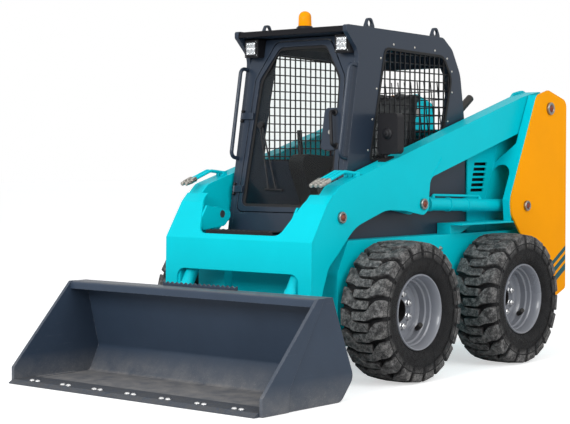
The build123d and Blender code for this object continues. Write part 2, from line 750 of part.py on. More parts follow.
def door_hinges():
    """Fixed hinge wires and feet on the front of the cab."""
    leaves = []
    for z in HINGE_HEIGHTS:
        centre = (DOOR_HINGE_Y, up_front(z), KNUCKLE_R)
        leaf = Pos(*centre) * Rot(90, 0, 0) * Cylinder(HINGE_WIRE_R, 2 * KNUCKLE_L)
        for end in (-0.75 * KNUCKLE_L, 0.75 * KNUCKLE_L):
            leaf += Pos(DOOR_HINGE_Y, up_front(z) + end, KNUCKLE_R) * Rot(90, 0, 0) * Cylinder(
                KNUCKLE_R, KNUCKLE_L / 3)
            leaf += Pos(DOOR_HINGE_Y, up_front(z) + end, KNUCKLE_R / 2) * Box(
                2 * KNUCKLE_R, KNUCKLE_L / 3, KNUCKLE_R)
        leaves.append(CAB_PLANE * leaf)
    return leaves


def door_glass():
    """Pane within the door's rails."""
    opening = front_face(door_outline(-DOOR_RAIL - SEAT_FIT))
    latch = front_face([(y - SEAT_FIT, z - SEAT_FIT if z < 1500 else z + SEAT_FIT, r) for y, z, r in LATCH])
    return front_slab(opening - latch, -DOOR_T / 2, GLASS_T)


def wiper():
    """Wiper motor, two arms and a blade on the outside of the glass."""
    face = -DOOR_T / 2
    pivot = (-270, up_front(1505), face)
    tips = [(-150, up_front(1110), face + 14), (-90, up_front(1110), face + 14)]
    body = Pos(pivot[0], pivot[1], face + 12) * Cylinder(22, 24)
    for start, tip in zip((-276, -262), tips):
        body += bar((start, pivot[1], face + 14), tip, 5)
    body += bar((-180, up_front(1112), face + 8), (-40, up_front(1108), face + 8), 8)
    return CAB_PLANE * body


def mesh_side():
    """Welded mesh in the left window: upright wires outside level ones."""
    window = side_face(SIDE_WINDOW)
    box = window.bounding_box()
    wires = []
    level_y = CAB_HALF - CAB_WALL / 2
    upright_y = level_y + MESH_WIRE + SEAT_FIT
    x = box.min.X + MESH_PITCH / 2
    while x < box.max.X:
        wire = block(x - MESH_WIRE / 2, x + MESH_WIRE / 2, upright_y, upright_y + MESH_WIRE, box.min.Z, box.max.Z)
        wires.append(wire & side_plate(SIDE_WINDOW, upright_y, upright_y + MESH_WIRE))
        x += MESH_PITCH
    z = box.min.Z + MESH_PITCH / 2
    while z < box.max.Z:
        wire = block(box.min.X, box.max.X, level_y, level_y + MESH_WIRE, z - MESH_WIRE / 2, z + MESH_WIRE / 2)
        wires.append(wire & side_plate(SIDE_WINDOW, level_y, level_y + MESH_WIRE))
        z += MESH_PITCH
    return wires


def mesh_rear():
    """Welded mesh in the rear window: upright wires outside level ones."""
    wires = []
    low, high, half = REAR_WINDOW
    for i in range(int(2 * half / MESH_PITCH)):
        y = -half + MESH_PITCH * (i + 0.5)
        wires.append(bar((rear_x(low), y, low), (rear_x(high), y, high), MESH_WIRE / 2))
    step = MESH_WIRE + SEAT_FIT
    for i in range(int((high - low) / MESH_PITCH)):
        z = low + MESH_PITCH * (i + 0.5)
        wires.append(bar_y(rear_x(z) + step, z, MESH_WIRE / 2, -half, half))
    return wires


def lifting_eyes():
    """Four plates with a round hole, standing on the roof near its sides."""
    eyes = []
    for x in (448, -240):
        z = roof_top(x)
        eye = side_plate([
            (x - 45, roof_top(x - 45), 0),
            (x - 45, z + 20, 18),
            (x - 20, z + 66, 24),
            (x + 20, z + 66, 24),
            (x + 45, z + 20, 18),
            (x + 45, roof_top(x + 45), 0),
        ], CAB_IN - EYE_T, CAB_IN)
        eyes += both_sides(eye - bar_y(x, z + 34, EYE_HOLE_R, CAB_IN - EYE_T, CAB_IN))
    return eyes


def beacon_base():
    """Socket of the warning beacon on the roof."""
    z = roof_top(BEACON_X)
    return Pos(BEACON_X, 0, z + 4) * Cylinder(52, 34) - roof()


def beacon_lens():
    """Domed lens over the socket."""
    z = roof_top(BEACON_X) + 21
    lens = Pos(BEACON_X, 0, z + 50) * Cylinder(42, 100)
    return fillet(lens.edges().group_by(Axis.Z)[-1], 22)


def lamp_housings():
    """Two work lamps under the visor, on the front of the cab."""
    low = ROOF_Z - ROOF_T - PLATE - LAMP
    x = cab_front_x(low)
    lamp = block(cab_front_x(low + LAMP), x + LAMP_D, CAB_IN - LAMP, CAB_IN, low, low + LAMP)
    lean = front_slab(front_face([
        (CAB_IN, low - 20, 0), (CAB_IN, low + LAMP + 20, 0),
        (CAB_IN - LAMP, low + LAMP + 20, 0), (CAB_IN - LAMP, low - 20, 0),
    ]), 0, FRAME_T)
    return both_sides(lamp - lean)


def lamp_lenses():
    """Front glasses of the work lamps."""
    low = ROOF_Z - ROOF_T - PLATE - LAMP
    x = cab_front_x(low) + LAMP_D
    rim_w = 8
    return both_sides(block(x, x + GLASS_T, CAB_IN - LAMP + rim_w, CAB_IN - rim_w, low + rim_w, low + LAMP - rim_w))


def grab_handles():
    """A bent tube on the front edge of each side wall."""
    y = CAB_HALF - CAB_WALL / 2
    low, high = (up_front(z) for z in HANDLE_ENDS)
    path = [(y, low, 0), (y, low, HANDLE_OUT), (y, high, HANDLE_OUT), (y, high, 0)]
    return both_sides(CAB_PLANE * bent_tube(path, HANDLE_R, 3 * HANDLE_R))


# Seat and controls

def seat_base():
    """Box under the seat, on the cab floor."""
    return block(-330, 170, -240, 240, DECK_Z + FLOOR_T, SEAT_Z - 110)


def seat_cushion():
    cushion = block(-280, 230, -245, 245, SEAT_Z - 110, SEAT_Z)
    return fillet(cushion.edges().filter_by(Axis.Z), 50)


def seat_back():
    back = straight_plate([
        (-290, SEAT_Z + SEAT_FIT),
        (-190, SEAT_Z + SEAT_FIT),
        (-270, SEAT_Z + 560),
        (-370, SEAT_Z + 560),
    ], -230, 230)
    return back


def controls():
    """Two side consoles with a hand lever each, on the cab floor."""
    pieces = []
    console = side_plate([
        (-300, DECK_Z + FLOOR_T, 0),
        (-300, SEAT_Z + 120, 40),
        (240, SEAT_Z + 150, 60),
        (240, SEAT_Z + 60, 60),
        (40, DECK_Z + FLOOR_T, 0),
    ], 280, 395)
    lever = bar((190, 337, SEAT_Z + 120), (205, 337, SEAT_Z + 300), 16)
    return both_sides(console + lever)


# Lift arms

def arm():
    """Left arm: two side plates, a hollow box between them and open ends round the pins."""
    face = side_face(ARM_SIDE)
    plates = Pos(0, ARM_IN, 0) * extrude(face, amount=ARM_PLATE, dir=(0, 1, 0))
    plates += Pos(0, ARM_OUT - ARM_PLATE, 0) * extrude(face, amount=ARM_PLATE, dir=(0, 1, 0))
    ring = face - side_face(inset(ARM_SIDE, ARM_WEB))
    web = Pos(0, ARM_IN + ARM_PLATE, 0) * extrude(ring, amount=ARM_W - 2 * ARM_PLATE, dir=(0, 1, 0))
    ram_way = side_plate([
        (LIFT_EYE_X - 200, LIFT_EYE_Z - 120, 0),
        (LIFT_EYE_X - 200, LIFT_EYE_Z + 145, 0),
        (LIFT_EYE_X + 20, LIFT_EYE_Z + 145, 60),
        (LIFT_EYE_X + 80, LIFT_EYE_Z + 60, 40),
        (LIFT_EYE_X + 80, LIFT_EYE_Z - 120, 0),
    ], ARM_IN + ARM_PLATE, ARM_OUT - ARM_PLATE)
    body = plates + (web - ram_way)
    for x, z, boss_r, pin_r in (
        (PIVOT_X, PIVOT_Z, PIVOT_BOSS_R, PIVOT_PIN_R + PIN_FIT),
        (HINGE_X, HINGE_Z, HINGE_BOSS_R, HINGE_PIN_R + PIN_FIT),
    ):
        body += bar_y(x, z, boss_r, ARM_IN, ARM_OUT)
        body -= bar_y(x, z, pin_r, ARM_IN, ARM_OUT)
    for x, z in ((LIFT_EYE_X, LIFT_EYE_Z), (TILT_BASE_X, TILT_BASE_Z)):
        body -= bar_y(x, z, RAM_PIN_R + SEAT_FIT, ARM_IN, ARM_OUT)
    return body


def ear_top(x):
    """Top of the tilt cylinder's inner ear, just under the way of the swinging door."""
    door_z = DOOR_SIDE[0][1]
    return door_z + (x - cab_front_x(door_z)) * tan(radians(CAB_LEAN)) - 2 * SWING


def cross_member():
    """Folded plate across the front of the arms, with a step cut-out and a cylinder cut-out."""
    plate = strip(CROSS_SIDE, CROSS_T, -ARM_OUT, ARM_OUT)
    plate = Pos(CROSS_T, 0, 0) * plate
    step_way = extrude(make_face(FilletPolyline(
        (0, -310, STEP_Z), (0, -347, 940), (0, -400, 1060), (0, -400, 1200),
        (0, 400, 1200), (0, 400, 1060), (0, 347, 940), (0, 310, STEP_Z),
        radius=[60, 0, 0, 0, 0, 0, 0, 60], close=True,
    )), amount=2 * NOSE_X, dir=(1, 0, 0))
    ram_way = extrude(make_face(FilletPolyline(
        (0, -475, 400), (0, -475, 645), (0, 475, 645), (0, 475, 400),
        radius=[0, 60, 60, 0], close=True,
    )), amount=2 * NOSE_X, dir=(1, 0, 0))
    plate = plate - step_way - ram_way
    ear = side_plate([
        (TILT_BASE_X - EAR_R, ear_top(TILT_BASE_X - EAR_R), 20),
        (TILT_BASE_X - EAR_R, TILT_BASE_Z - 20, 30),
        (TILT_BASE_X - 20, TILT_BASE_Z - EAR_R, 40),
        (1100, 870, 0),
        (1128, 915, 0),
        (1062, ear_top(1062), 0),
    ], EAR_Y - ARM_PLATE, EAR_Y)
    ear -= bar_y(TILT_BASE_X, TILT_BASE_Z, RAM_PIN_R + SEAT_FIT, 0, ARM_OUT)
    return plate + ear + other_side(ear)


def arm_pins():
    """Tilt-cylinder pins through the arms, and stub pins either side of each lift rod's eye."""
    pins = []
    pin = bar_y(TILT_BASE_X, TILT_BASE_Z, RAM_PIN_R, EAR_Y - ARM_PLATE, ARM_OUT)
    pin += bar_y(TILT_BASE_X, TILT_BASE_Z, RAM_PIN_R + PIN_HEAD, ARM_OUT, ARM_OUT + PIN_HEAD)
    pins += both_sides(pin)
    outer = bar_y(LIFT_EYE_X, LIFT_EYE_Z, RAM_PIN_R, ARM_OUT - ARM_PLATE, ARM_OUT)
    outer += bar_y(LIFT_EYE_X, LIFT_EYE_Z, RAM_PIN_R + PIN_HEAD, ARM_OUT, ARM_OUT + PIN_HEAD)
    pins += both_sides(outer)
    stub = bar_y(LIFT_EYE_X, LIFT_EYE_Z, RAM_PIN_R, ARM_IN, ARM_IN + ARM_PLATE)
    pins += both_sides(stub)
    return pins


def step_tread():
    """Channel-shaped tread on the lower edge of the cross-member's step cut-out."""
    back, front = NOSE_X + 130, CROSS_SIDE[2][0] - 8
    tread = block(back, front, -TREAD_HALF, TREAD_HALF, STEP_Z, STEP_Z + TREAD_H)
    hollow = block(back + 6, front - 6, -TREAD_HALF, TREAD_HALF, STEP_Z, STEP_Z + TREAD_H - 6)
    return tread - hollow


def mirrors():
    """A mirror head on a stalk on top of each arm."""
    foot_z = arm_top(MIRROR_X)
    head = block(MIRROR_X - 35, MIRROR_X + 25, ARM_MID - 45, ARM_MID + 105, 1325, 1568)
    head = fillet(head.edges().filter_by(Axis.X), 28)
    stalk = bar((MIRROR_X, ARM_MID, foot_z + 8), (MIRROR_X, ARM_MID, 1330), 11)
    foot = straight_plate([
        (MIRROR_X - 40, arm_top(MIRROR_X - 40)),
        (MIRROR_X - 40, arm_top(MIRROR_X - 40) + 12),
        (MIRROR_X + 40, arm_top(MIRROR_X + 40) + 12),
        (MIRROR_X + 40, arm_top(MIRROR_X + 40)),
    ], ARM_MID - 30, ARM_MID + 30)
    return both_sides(head + stalk + foot)


def aux_lines():
    """Places of the attachment couplers across the machine: three on the left arm, two on the right."""
    left = [ARM_MID + step * AUX_PITCH for step in (-1, 0, 1)]
    right = [-ARM_MID + step * AUX_PITCH for step in (-0.5, 0.5)]
    return left + right


def aux_tubes():
    """Steel tubes from a foot on each arm's top forward to the couplers."""
    tubes = []
    for y in aux_lines():
        foot_x = AUX_X - AUX_RUN
        foot_top = arm_top(foot_x) + 2 * AUX_TUBE_R
        foot = straight_plate([
            (foot_x - 2 * AUX_TUBE_R, arm_top(foot_x - 2 * AUX_TUBE_R)),
            (foot_x + 2 * AUX_TUBE_R, arm_top(foot_x + 2 * AUX_TUBE_R)),
            (foot_x + 2 * AUX_TUBE_R, foot_top + AUX_TUBE_R),
            (foot_x - 2 * AUX_TUBE_R, foot_top + AUX_TUBE_R),
        ], y - 1.4 * AUX_TUBE_R, y + 1.4 * AUX_TUBE_R)
        path = [(foot_x, y, foot_top), (AUX_X - 0.55 * AUX_RUN, y, AUX_Z + 51), (AUX_X, y, AUX_Z)]
        tubes.append(foot + bent_tube(path, AUX_TUBE_R, 60))
    return tubes


def aux_couplers():
    """Flat-faced quick couplers on the ends of the tubes, pointing forward and down."""
    run = Vector(0.55 * AUX_RUN, 0, -51).normalized()
    couplers = []
    for y in aux_lines():
        base = Vector(AUX_X, y, AUX_Z)
        nut = bar(base, base + run * AUX_NUT_L, AUX_NUT_R)
        couplers.append(nut + bar(base + run * AUX_NUT_L, base + run * (AUX_NUT_L + AUX_PIN_L), AUX_PIN_R))
    return couplers


# Lift and tilt cylinders

def ram_plane(base_x, base_z, eye_x, eye_z, y):
    """Frame of a cylinder: origin at its lower pin, Z along it, X across the machine."""
    return Plane(origin=(base_x, y, base_z), x_dir=(0, 1, 0), z_dir=(eye_x - base_x, 0, eye_z - base_z))


def ram_eye(place):
    """Eye of a cylinder with its bore, across the frame's X."""
    eye = Pos(0, 0, place) * Rot(0, 90, 0) * Cylinder(RAM_EYE_R, RAM_EYE_W)
    hole = Pos(0, 0, place) * Rot(0, 90, 0) * Cylinder(RAM_PIN_R + PIN_FIT, RAM_EYE_W)
    return eye, hole


def ram_barrel(tube_r, tube_l, rod_r):
    """Bored tube with a gland at its open end and an eye at the other."""
    eye, hole = ram_eye(0)
    floor = RAM_FLOOR
    start = RAM_EYE_R - RAM_WALL
    tube = Pos(0, 0, (start + tube_l) / 2) * Cylinder(tube_r, tube_l - start)
    gland = Pos(0, 0, tube_l - RAM_GLAND / 2) * Cylinder(tube_r + RAM_WALL / 2, RAM_GLAND)
    bore_l = tube_l - RAM_GLAND - floor
    bore = Pos(0, 0, floor + bore_l / 2) * Cylinder(tube_r - RAM_WALL, bore_l)
    rod_way = Pos(0, 0, tube_l - RAM_GLAND / 2) * Cylinder(rod_r + PIN_FIT, RAM_GLAND)
    return eye + tube + gland - hole - bore - rod_way


def ram_rod(tube_r, rod_r, start, length):
    """Rod with a piston at its inner end and an eye at the other."""
    eye, hole = ram_eye(length)
    end = length - RAM_EYE_R + RAM_WALL
    rod = Pos(0, 0, (start + end) / 2) * Cylinder(rod_r, end - start)
    piston = Pos(0, 0, start + RAM_PISTON / 2) * Cylinder(tube_r - RAM_WALL - SEAT_FIT, RAM_PISTON)
    return eye + rod + piston - hole


def lift_ram():
    plane = ram_plane(LIFT_BASE_X, LIFT_BASE_Z, LIFT_EYE_X, LIFT_EYE_Z, ARM_MID)
    length = Vector(LIFT_EYE_X - LIFT_BASE_X, LIFT_EYE_Z - LIFT_BASE_Z).length
    return (plane * ram_barrel(LIFT_TUBE_R, length - LIFT_NECK, LIFT_ROD_R),
            plane * ram_rod(LIFT_TUBE_R, LIFT_ROD_R, RAM_FLOOR + LIFT_BACK, length))


def tilt_ram():
    plane = ram_plane(TILT_BASE_X, TILT_BASE_Z, TILT_EYE_X, TILT_EYE_Z, TILT_Y)
    length = Vector(TILT_EYE_X - TILT_BASE_X, TILT_EYE_Z - TILT_BASE_Z).length
    return (plane * ram_barrel(TILT_TUBE_R, length - TILT_NECK, TILT_ROD_R),
            plane * ram_rod(TILT_TUBE_R, TILT_ROD_R, RAM_FLOOR + TILT_BACK, length))


# Coupler and bucket

def back_x(z):
    """Rear face of the bucket's back at a height."""
    return HEEL_X + (z - HEEL_Z) * BACK_LEAN


def coupler():
    """Carrier plate behind the bucket, with hinge ears and tilt-rod lugs."""
    low, high = HEEL_Z - 10, BUCKET_TOP_Z - 60
    gap = SEAT_FIT
    plate = straight_plate([
        (back_x(low) - gap, low),
        (back_x(high) - gap, high),
        (back_x(high) - gap - COUPLER_T, high),
        (back_x(low) - gap - COUPLER_T, low),
    ], -COUPLER_HALF, COUPLER_HALF)
    eye_half = RAM_EYE_W / 2
    hinge_ear = [
        (back_x(low) - COUPLER_T, low, 0),
        (HINGE_X, HINGE_Z - 60, 50),
        (HINGE_X - 62, HINGE_Z - 10, 50),
        (HINGE_X - 30, HINGE_Z + 62, 50),
        (back_x(330) - COUPLER_T, 330, 0),
    ]
    rod_ear = [
        (back_x(low) - COUPLER_T, low, 0),
        (TILT_EYE_X - 52, TILT_EYE_Z - 40, 30),
        (TILT_EYE_X - 40, TILT_EYE_Z + 40, 30),
        (TILT_EYE_X + 20, TILT_EYE_Z + 52, 30),
        (back_x(440) - COUPLER_T, 440, 0),
    ]
    near_y = TILT_Y + eye_half + LUG_GAP
    far_y = TILT_Y - eye_half - LUG_GAP
    shared = side_plate(hinge_ear, near_y, near_y + LUG_T) + side_plate(rod_ear, near_y, near_y + LUG_T)
    outer = side_plate(hinge_ear, ARM_OUT + SWING, ARM_OUT + SWING + LUG_T)
    inner = side_plate(rod_ear, far_y - LUG_T, far_y)
    ears = shared + outer + inner
    ears -= bar_y(HINGE_X, HINGE_Z, HINGE_PIN_R + SEAT_FIT, near_y, ARM_OUT + SWING + LUG_T)
    ears -= bar_y(TILT_EYE_X, TILT_EYE_Z, RAM_PIN_R + SEAT_FIT, far_y - LUG_T, near_y + LUG_T)
    return plate + ears + other_side(ears)


def coupler_pins():
    """Bucket hinge pins, and stub pins either side of each tilt rod's eye."""
    near_y = TILT_Y + RAM_EYE_W / 2 + LUG_GAP
    far_y = TILT_Y - RAM_EYE_W / 2 - LUG_GAP
    hinge = bar_y(HINGE_X, HINGE_Z, HINGE_PIN_R, near_y, ARM_OUT + SWING + LUG_T)
    pins = both_sides(hinge)
    pins += both_sides(bar_y(TILT_EYE_X, TILT_EYE_Z, RAM_PIN_R, near_y, near_y + LUG_T))
    pins += both_sides(bar_y(TILT_EYE_X, TILT_EYE_Z, RAM_PIN_R, far_y - LUG_T, far_y))
    return pins


def bucket_sheet():
    """Floor, slanted corner, back and folded top lip, as one sheet seen from the side."""
    low = BUCKET_GROUND
    top = BUCKET_TOP_Z
    in_low = low + SHEET
    return side_plate([
        (LIP_X - EDGE_W, low, 0),
        (HEEL_X + HEEL_R, low, 60),
        (HEEL_X, HEEL_Z, 60),
        (BACK_TOP_X, top, 0),
        (BACK_TOP_X + TOP_LIP, top, 20),
        (BACK_TOP_X + TOP_LIP + 6, top - 46, 0),
        (BACK_TOP_X + TOP_LIP - SHEET, top - 46, 0),
        (BACK_TOP_X + TOP_LIP - SHEET, top - SHEET, 0),
        (BACK_TOP_X + 10, top - SHEET, 10),
        (HEEL_X + 92, HEEL_Z + 40, 30),
        (HEEL_X + 168, in_low, 30),
        (LIP_X - EDGE_W, in_low, 0),
    ], -BUCKET_HALF + WEAR_T, BUCKET_HALF - WEAR_T)


def bucket_side():
    """Left end plate with a wear plate along its front edge."""
    outline = [
        (SIDE_FRONT_X, BUCKET_GROUND, 0),
        (HEEL_X + HEEL_R, BUCKET_GROUND, 60),
        (HEEL_X, HEEL_Z, 60),
        (BACK_TOP_X, BUCKET_TOP_Z, 0),
        (BACK_TOP_X + TOP_LIP, BUCKET_TOP_Z, 12),
        (SIDE_FRONT_X, BUCKET_GROUND + 90, 12),
    ]
    plate = side_plate(outline, BUCKET_HALF - WEAR_T - SHEET, BUCKET_HALF - WEAR_T)
    wear = side_plate([
        (SIDE_FRONT_X, BUCKET_GROUND, 0),
        (SIDE_FRONT_X - 208, BUCKET_GROUND, 0),
        (SIDE_FRONT_X - 212, 119, 60),
        (BACK_TOP_X + 75, BUCKET_TOP_Z, 0),
        (BACK_TOP_X + TOP_LIP, BUCKET_TOP_Z, 12),
        (SIDE_FRONT_X, BUCKET_GROUND + 90, 12),
    ], BUCKET_HALF - WEAR_T, BUCKET_HALF)
    return plate + wear


def bucket():
    side = bucket_side()
    return bucket_sheet() + side + other_side(side)


def cutting_edge():
    """Bevelled edge along the lip, in front of the floor sheet."""
    return straight_plate([
        (LIP_X, BUCKET_GROUND),
        (LIP_X - EDGE_W, BUCKET_GROUND),
        (LIP_X - EDGE_W, BUCKET_GROUND + EDGE_T),
        (LIP_X - EDGE_T - 8, BUCKET_GROUND + EDGE_T),
        (LIP_X, BUCKET_GROUND + 5),
    ], -BUCKET_HALF + WEAR_T + SHEET, BUCKET_HALF - WEAR_T - SHEET)


def bucket_step():
    """Toothed grip strip along the middle of the bucket's top."""
    low = BUCKET_TOP_Z
    teeth = 16
    pitch = 2 * STEP_HALF / teeth
    face = [(-STEP_HALF, low)]
    for i in range(teeth):
        y = -STEP_HALF + i * pitch
        face += [(y, low + 24), (y + pitch / 2, low + 12)]
    face += [(STEP_HALF, low + 24), (STEP_HALF, low)]
    points = [(BACK_TOP_X + 4, y, z) for y, z in face]
    return extrude(make_face(Polyline(*points, close=True)), amount=10, dir=(1, 0, 0))


def make_pieces():
    """Every piece by its name, in the frame midway between the axles."""
    pieces = {
        "chassis": chassis(),
        "axle_tubes": axle_tubes(),
        "upright_pins": upright_pins(),
        "engine_block": engine_block(),
        "bay_deck": bay_deck(),
        "exhaust": exhaust(),
        "hood": hood(),
        "rear_door": rear_door(),
        "hinge_leaves": hood_hinges() + rear_hinges() + door_hinges(),
        "tail_panels": both_sides(tail_panel()),
        "uprights": both_sides(upright()),
        "side_louvres": both_sides(side_louvre()),
        "cab_sides": both_sides(cab_side()),
        "lift_arms": both_sides(arm()),
        "roof": roof(),
        "rear_wall": rear_wall(),
        "cab_floor": cab_floor(),
        "front_frame": front_frame(),
        "front_sill": front_sill(),
        "door_frame": door_frame(),
        "door_glass": door_glass(),
        "wiper": wiper(),
        "window_mesh": mesh_side() + [other_side(wire) for wire in mesh_side()] + mesh_rear(),
        "lifting_eyes": lifting_eyes(),
        "beacon_base": beacon_base(),
        "beacon_lens": beacon_lens(),
        "lamp_housings": lamp_housings(),
        "lamp_lenses": lamp_lenses(),
        "grab_handles": grab_handles(),
        "seat_base": seat_base(),
        "seat_cushion": seat_cushion(),
        "seat_back": seat_back(),
        "controls": controls(),
        "cross_member": cross_member(),
        "arm_pins": arm_pins(),
        "step_tread": step_tread(),
        "mirrors": mirrors(),
        "aux_tubes": aux_tubes(),
        "aux_couplers": aux_couplers(),
        "coupler": coupler(),
        "coupler_pins": coupler_pins(),
        "bucket": bucket(),
        "cutting_edge": cutting_edge(),
        "bucket_step": bucket_step(),
    }
    lift_barrel, lift_rod = lift_ram()
    tilt_barrel, tilt_rod = tilt_ram()
    paired = {
        "lift_barrel": lift_barrel,
        "lift_rod": lift_rod,
        "tilt_barrel": tilt_barrel,
        "tilt_rod": tilt_rod,
        "tyre_front": tyre(FRONT_AXLE_X),
        "tyre_rear": tyre(REAR_AXLE_X),
        "rim_front": rim(FRONT_AXLE_X),
        "rim_rear": rim(REAR_AXLE_X),
    }
    for name, left in paired.items():
        pieces[name + "_left"] = left
        pieces[name + "_right"] = other_side(left)
    return pieces


def main():
    """Build every piece, centre the model along X and write one file per piece."""
    os.makedirs("parts", exist_ok=True)
    for name, piece in make_pieces().items():
        solids = piece if isinstance(piece, list) else piece.solids()
        placed = [Pos(-MID_X, 0, 0) * solid for solid in solids]
        export_step(Compound(children=placed) if len(placed) > 1 else placed[0], f"parts/{name}.step")


if __name__ == "__main__":
    main()
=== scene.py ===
"""Finishes and small fittings of a wheeled mini loader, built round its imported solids."""

import json
import math

import bmesh
import bpy
from bpy.props import FloatProperty, FloatVectorProperty, IntProperty, PointerProperty
from mathutils import Matrix, Vector


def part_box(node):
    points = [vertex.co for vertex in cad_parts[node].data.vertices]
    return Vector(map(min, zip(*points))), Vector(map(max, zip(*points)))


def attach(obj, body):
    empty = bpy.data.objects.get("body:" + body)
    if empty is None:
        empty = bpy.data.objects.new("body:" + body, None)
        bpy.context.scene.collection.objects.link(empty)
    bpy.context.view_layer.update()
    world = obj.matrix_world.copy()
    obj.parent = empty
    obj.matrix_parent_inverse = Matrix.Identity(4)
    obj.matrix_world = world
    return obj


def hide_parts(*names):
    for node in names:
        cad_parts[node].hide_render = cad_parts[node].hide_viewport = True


bl_info = {
    "name": "Mini Loader Finishes",
    "version": (1, 0, 0),
    "blender": (4, 5, 0),
    "location": "View3D > Sidebar > Loader",
    "description": "Dresses a wheeled mini loader with its paint, tyres and small fittings",
    "category": "Object",
}

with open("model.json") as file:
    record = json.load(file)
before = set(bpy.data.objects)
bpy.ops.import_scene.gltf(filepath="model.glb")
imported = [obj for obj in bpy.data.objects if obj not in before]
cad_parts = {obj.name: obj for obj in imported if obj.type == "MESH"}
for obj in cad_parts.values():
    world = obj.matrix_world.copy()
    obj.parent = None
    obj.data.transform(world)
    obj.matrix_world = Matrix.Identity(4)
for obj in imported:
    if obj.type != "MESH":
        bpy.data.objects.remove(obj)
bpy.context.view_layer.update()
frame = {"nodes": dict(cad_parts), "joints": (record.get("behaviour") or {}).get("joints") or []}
NODES = frame["nodes"]
PIVOTS = {joint["name"]: Vector(joint["pos_m"]) for joint in frame["joints"] if "pos_m" in joint}
AXES = {joint["name"]: Vector(joint["axis"]) for joint in frame["joints"]}
SIDES = (("left", 1), ("right", -1))
WHEELS = [f"{end}_{side}" for end in ("front", "rear") for side, _ in SIDES]
RAMS = ("lift", "tilt")
SMOOTH_ANGLE = math.radians(38)
CRISP_ANGLE = math.radians(25)  # for nuts, bolts and other small hexagons
SUNK = 0.001  # a fitting's foot reaches this far into its carrier


def colour(name, description, value):
    """A paint or material colour that a user may change."""
    return FloatVectorProperty(
        name=name, description=description, default=value, size=3, min=0, max=1, subtype="COLOR")


def length(name, description, value):
    """A size in metres that a user may change."""
    return FloatProperty(name=name, description=description, default=value, min=0, unit="LENGTH")


class LoaderColours(bpy.types.PropertyGroup):
    """Colours of the paints and materials."""

    teal: colour("Teal paint", "Chassis, uprights and lift arms", (0.0, 0.53, 0.62))
    amber: colour("Orange paint", "Tail panels", (0.97, 0.36, 0.0))
    stripe: colour("Stripe", "Diagonal bands on the tail panels", (0.0, 0.085, 0.10))
    slate: colour("Slate paint", "Cab, roof and rear door", (0.017, 0.027, 0.045))
    bucket: colour("Bucket paint", "Bucket and its carrier", (0.027, 0.042, 0.068))
    rim: colour("Rim paint", "Wheel rims", (0.19, 0.205, 0.24))
    rubber: colour("Rubber", "Tyres and seals", (0.008, 0.008, 0.009))
    black: colour("Black", "Plastic mouldings and small steel parts", (0.005, 0.005, 0.007))
    dust: colour("Dust", "Dry soil settled on the machine", (0.30, 0.27, 0.23))
    beacon: colour("Beacon", "Warning beacon's lens", (0.86, 0.30, 0.0))
    cap: colour("Pin caps", "Caps in the heads of the big pins", (0.20, 0.045, 0.025))


class LoaderSizes(bpy.types.PropertyGroup):
    """Sizes of the fittings."""

    lug_depth: length("Lug depth", "Height of the tread lugs", 0.027)
    lug_count: IntProperty(name="Lugs", description="Tread lugs on each half of a tyre", default=20, min=8)
    nut: length("Wheel nut", "Width of a wheel nut over its flats", 0.032)
    bolt: length("Bolt", "Width of a drive case bolt over its flats", 0.016)
    edge_round: length("Edge rounding", "Radius that the paint shows on plate edges", 0.004)
    line: length("Steel line", "Diameter of the cylinders' steel oil lines", 0.016)


class LoaderView(bpy.types.PropertyGroup):
    """Camera and light."""

    place: FloatVectorProperty(
        name="Camera place", description="Where the camera stands", default=(7.5707, 6.0074, 1.2978),
        size=3, subtype="TRANSLATION")
    yaw: FloatProperty(
        name="Yaw", description="Heading of the view about the vertical",
        default=math.radians(220.094), subtype="ANGLE")
    pitch: FloatProperty(
        name="Pitch", description="Tilt of the view above the horizon",
        default=math.radians(-2.105), subtype="ANGLE")
    lens: FloatProperty(
        name="Lens", description="Focal length in millimetres on a 36 mm sensor", default=97.82, min=1)
    shift: FloatVectorProperty(
        name="Shift", description="Lens shift in sensor widths", default=(-0.0015, 0.0063), size=2)
    key: FloatProperty(name="Key light", description="Power of the large side lamp", default=470, min=0)
    fill: FloatProperty(name="Fill light", description="Power of the front lamp", default=720, min=0)
    sky: FloatProperty(name="Sky", description="Strength of the light from all round", default=0.54, min=0)


# Shader wiring

class Net:
    """Adds nodes to one tree, setting or linking each input by its name or number."""

    def __init__(self, tree):
        self.tree = tree

    def put(self, socket, value):
        """Links a socket to another one, or sets its value."""
        if isinstance(value, bpy.types.NodeSocket):
            self.tree.links.new(value, socket)
        else:
            socket.default_value = value

    def fill(self, node, **inputs):
        """Sets or links inputs of a node. An underscore stands for a space in their names."""
        for key, value in inputs.items():
            self.put(node.inputs[key.replace("_", " ")], value)

    def add(self, kind, inputs=None, **settings):
        node = self.tree.nodes.new(kind)
        for key, value in settings.items():
            setattr(node, key, value)
        for key, value in (inputs or {}).items():
            self.put(node.inputs[key], value)
        return node

    def math(self, operation, first, second=0.0, clamp=False):
        node = self.add("ShaderNodeMath", {0: first, 1: second}, operation=operation, use_clamp=clamp)
        return node.outputs[0]

    def span(self, value, low, high, to_low=0.0, to_high=1.0):
        """A value spread from one range to another and held inside it."""
        return self.add("ShaderNodeMapRange", {
            "Value": value, "From Min": low, "From Max": high, "To Min": to_low, "To Max": to_high,
        }).outputs["Result"]

    def noise(self, scale, detail=4.0, rough=0.6, place=None):
        place = place or self.add("ShaderNodeTexCoord").outputs["Object"]
        return self.add("ShaderNodeTexNoise", {
            "Vector": place, "Scale": scale, "Detail": detail, "Roughness": rough,
        }).outputs["Fac"]

    def blend(self, share, first, second):
        """The first colour with a share of the second in it."""
        node = self.add("ShaderNodeMix", {"Factor": share, 6: first, 7: second}, data_type="RGBA")
        return node.outputs[2]

    def group(self, name, **inputs):
        """The outputs of a shared shader group."""
        node = self.add("ShaderNodeGroup", node_tree=bpy.data.node_groups[name])
        self.fill(node, **inputs)
        return node.outputs


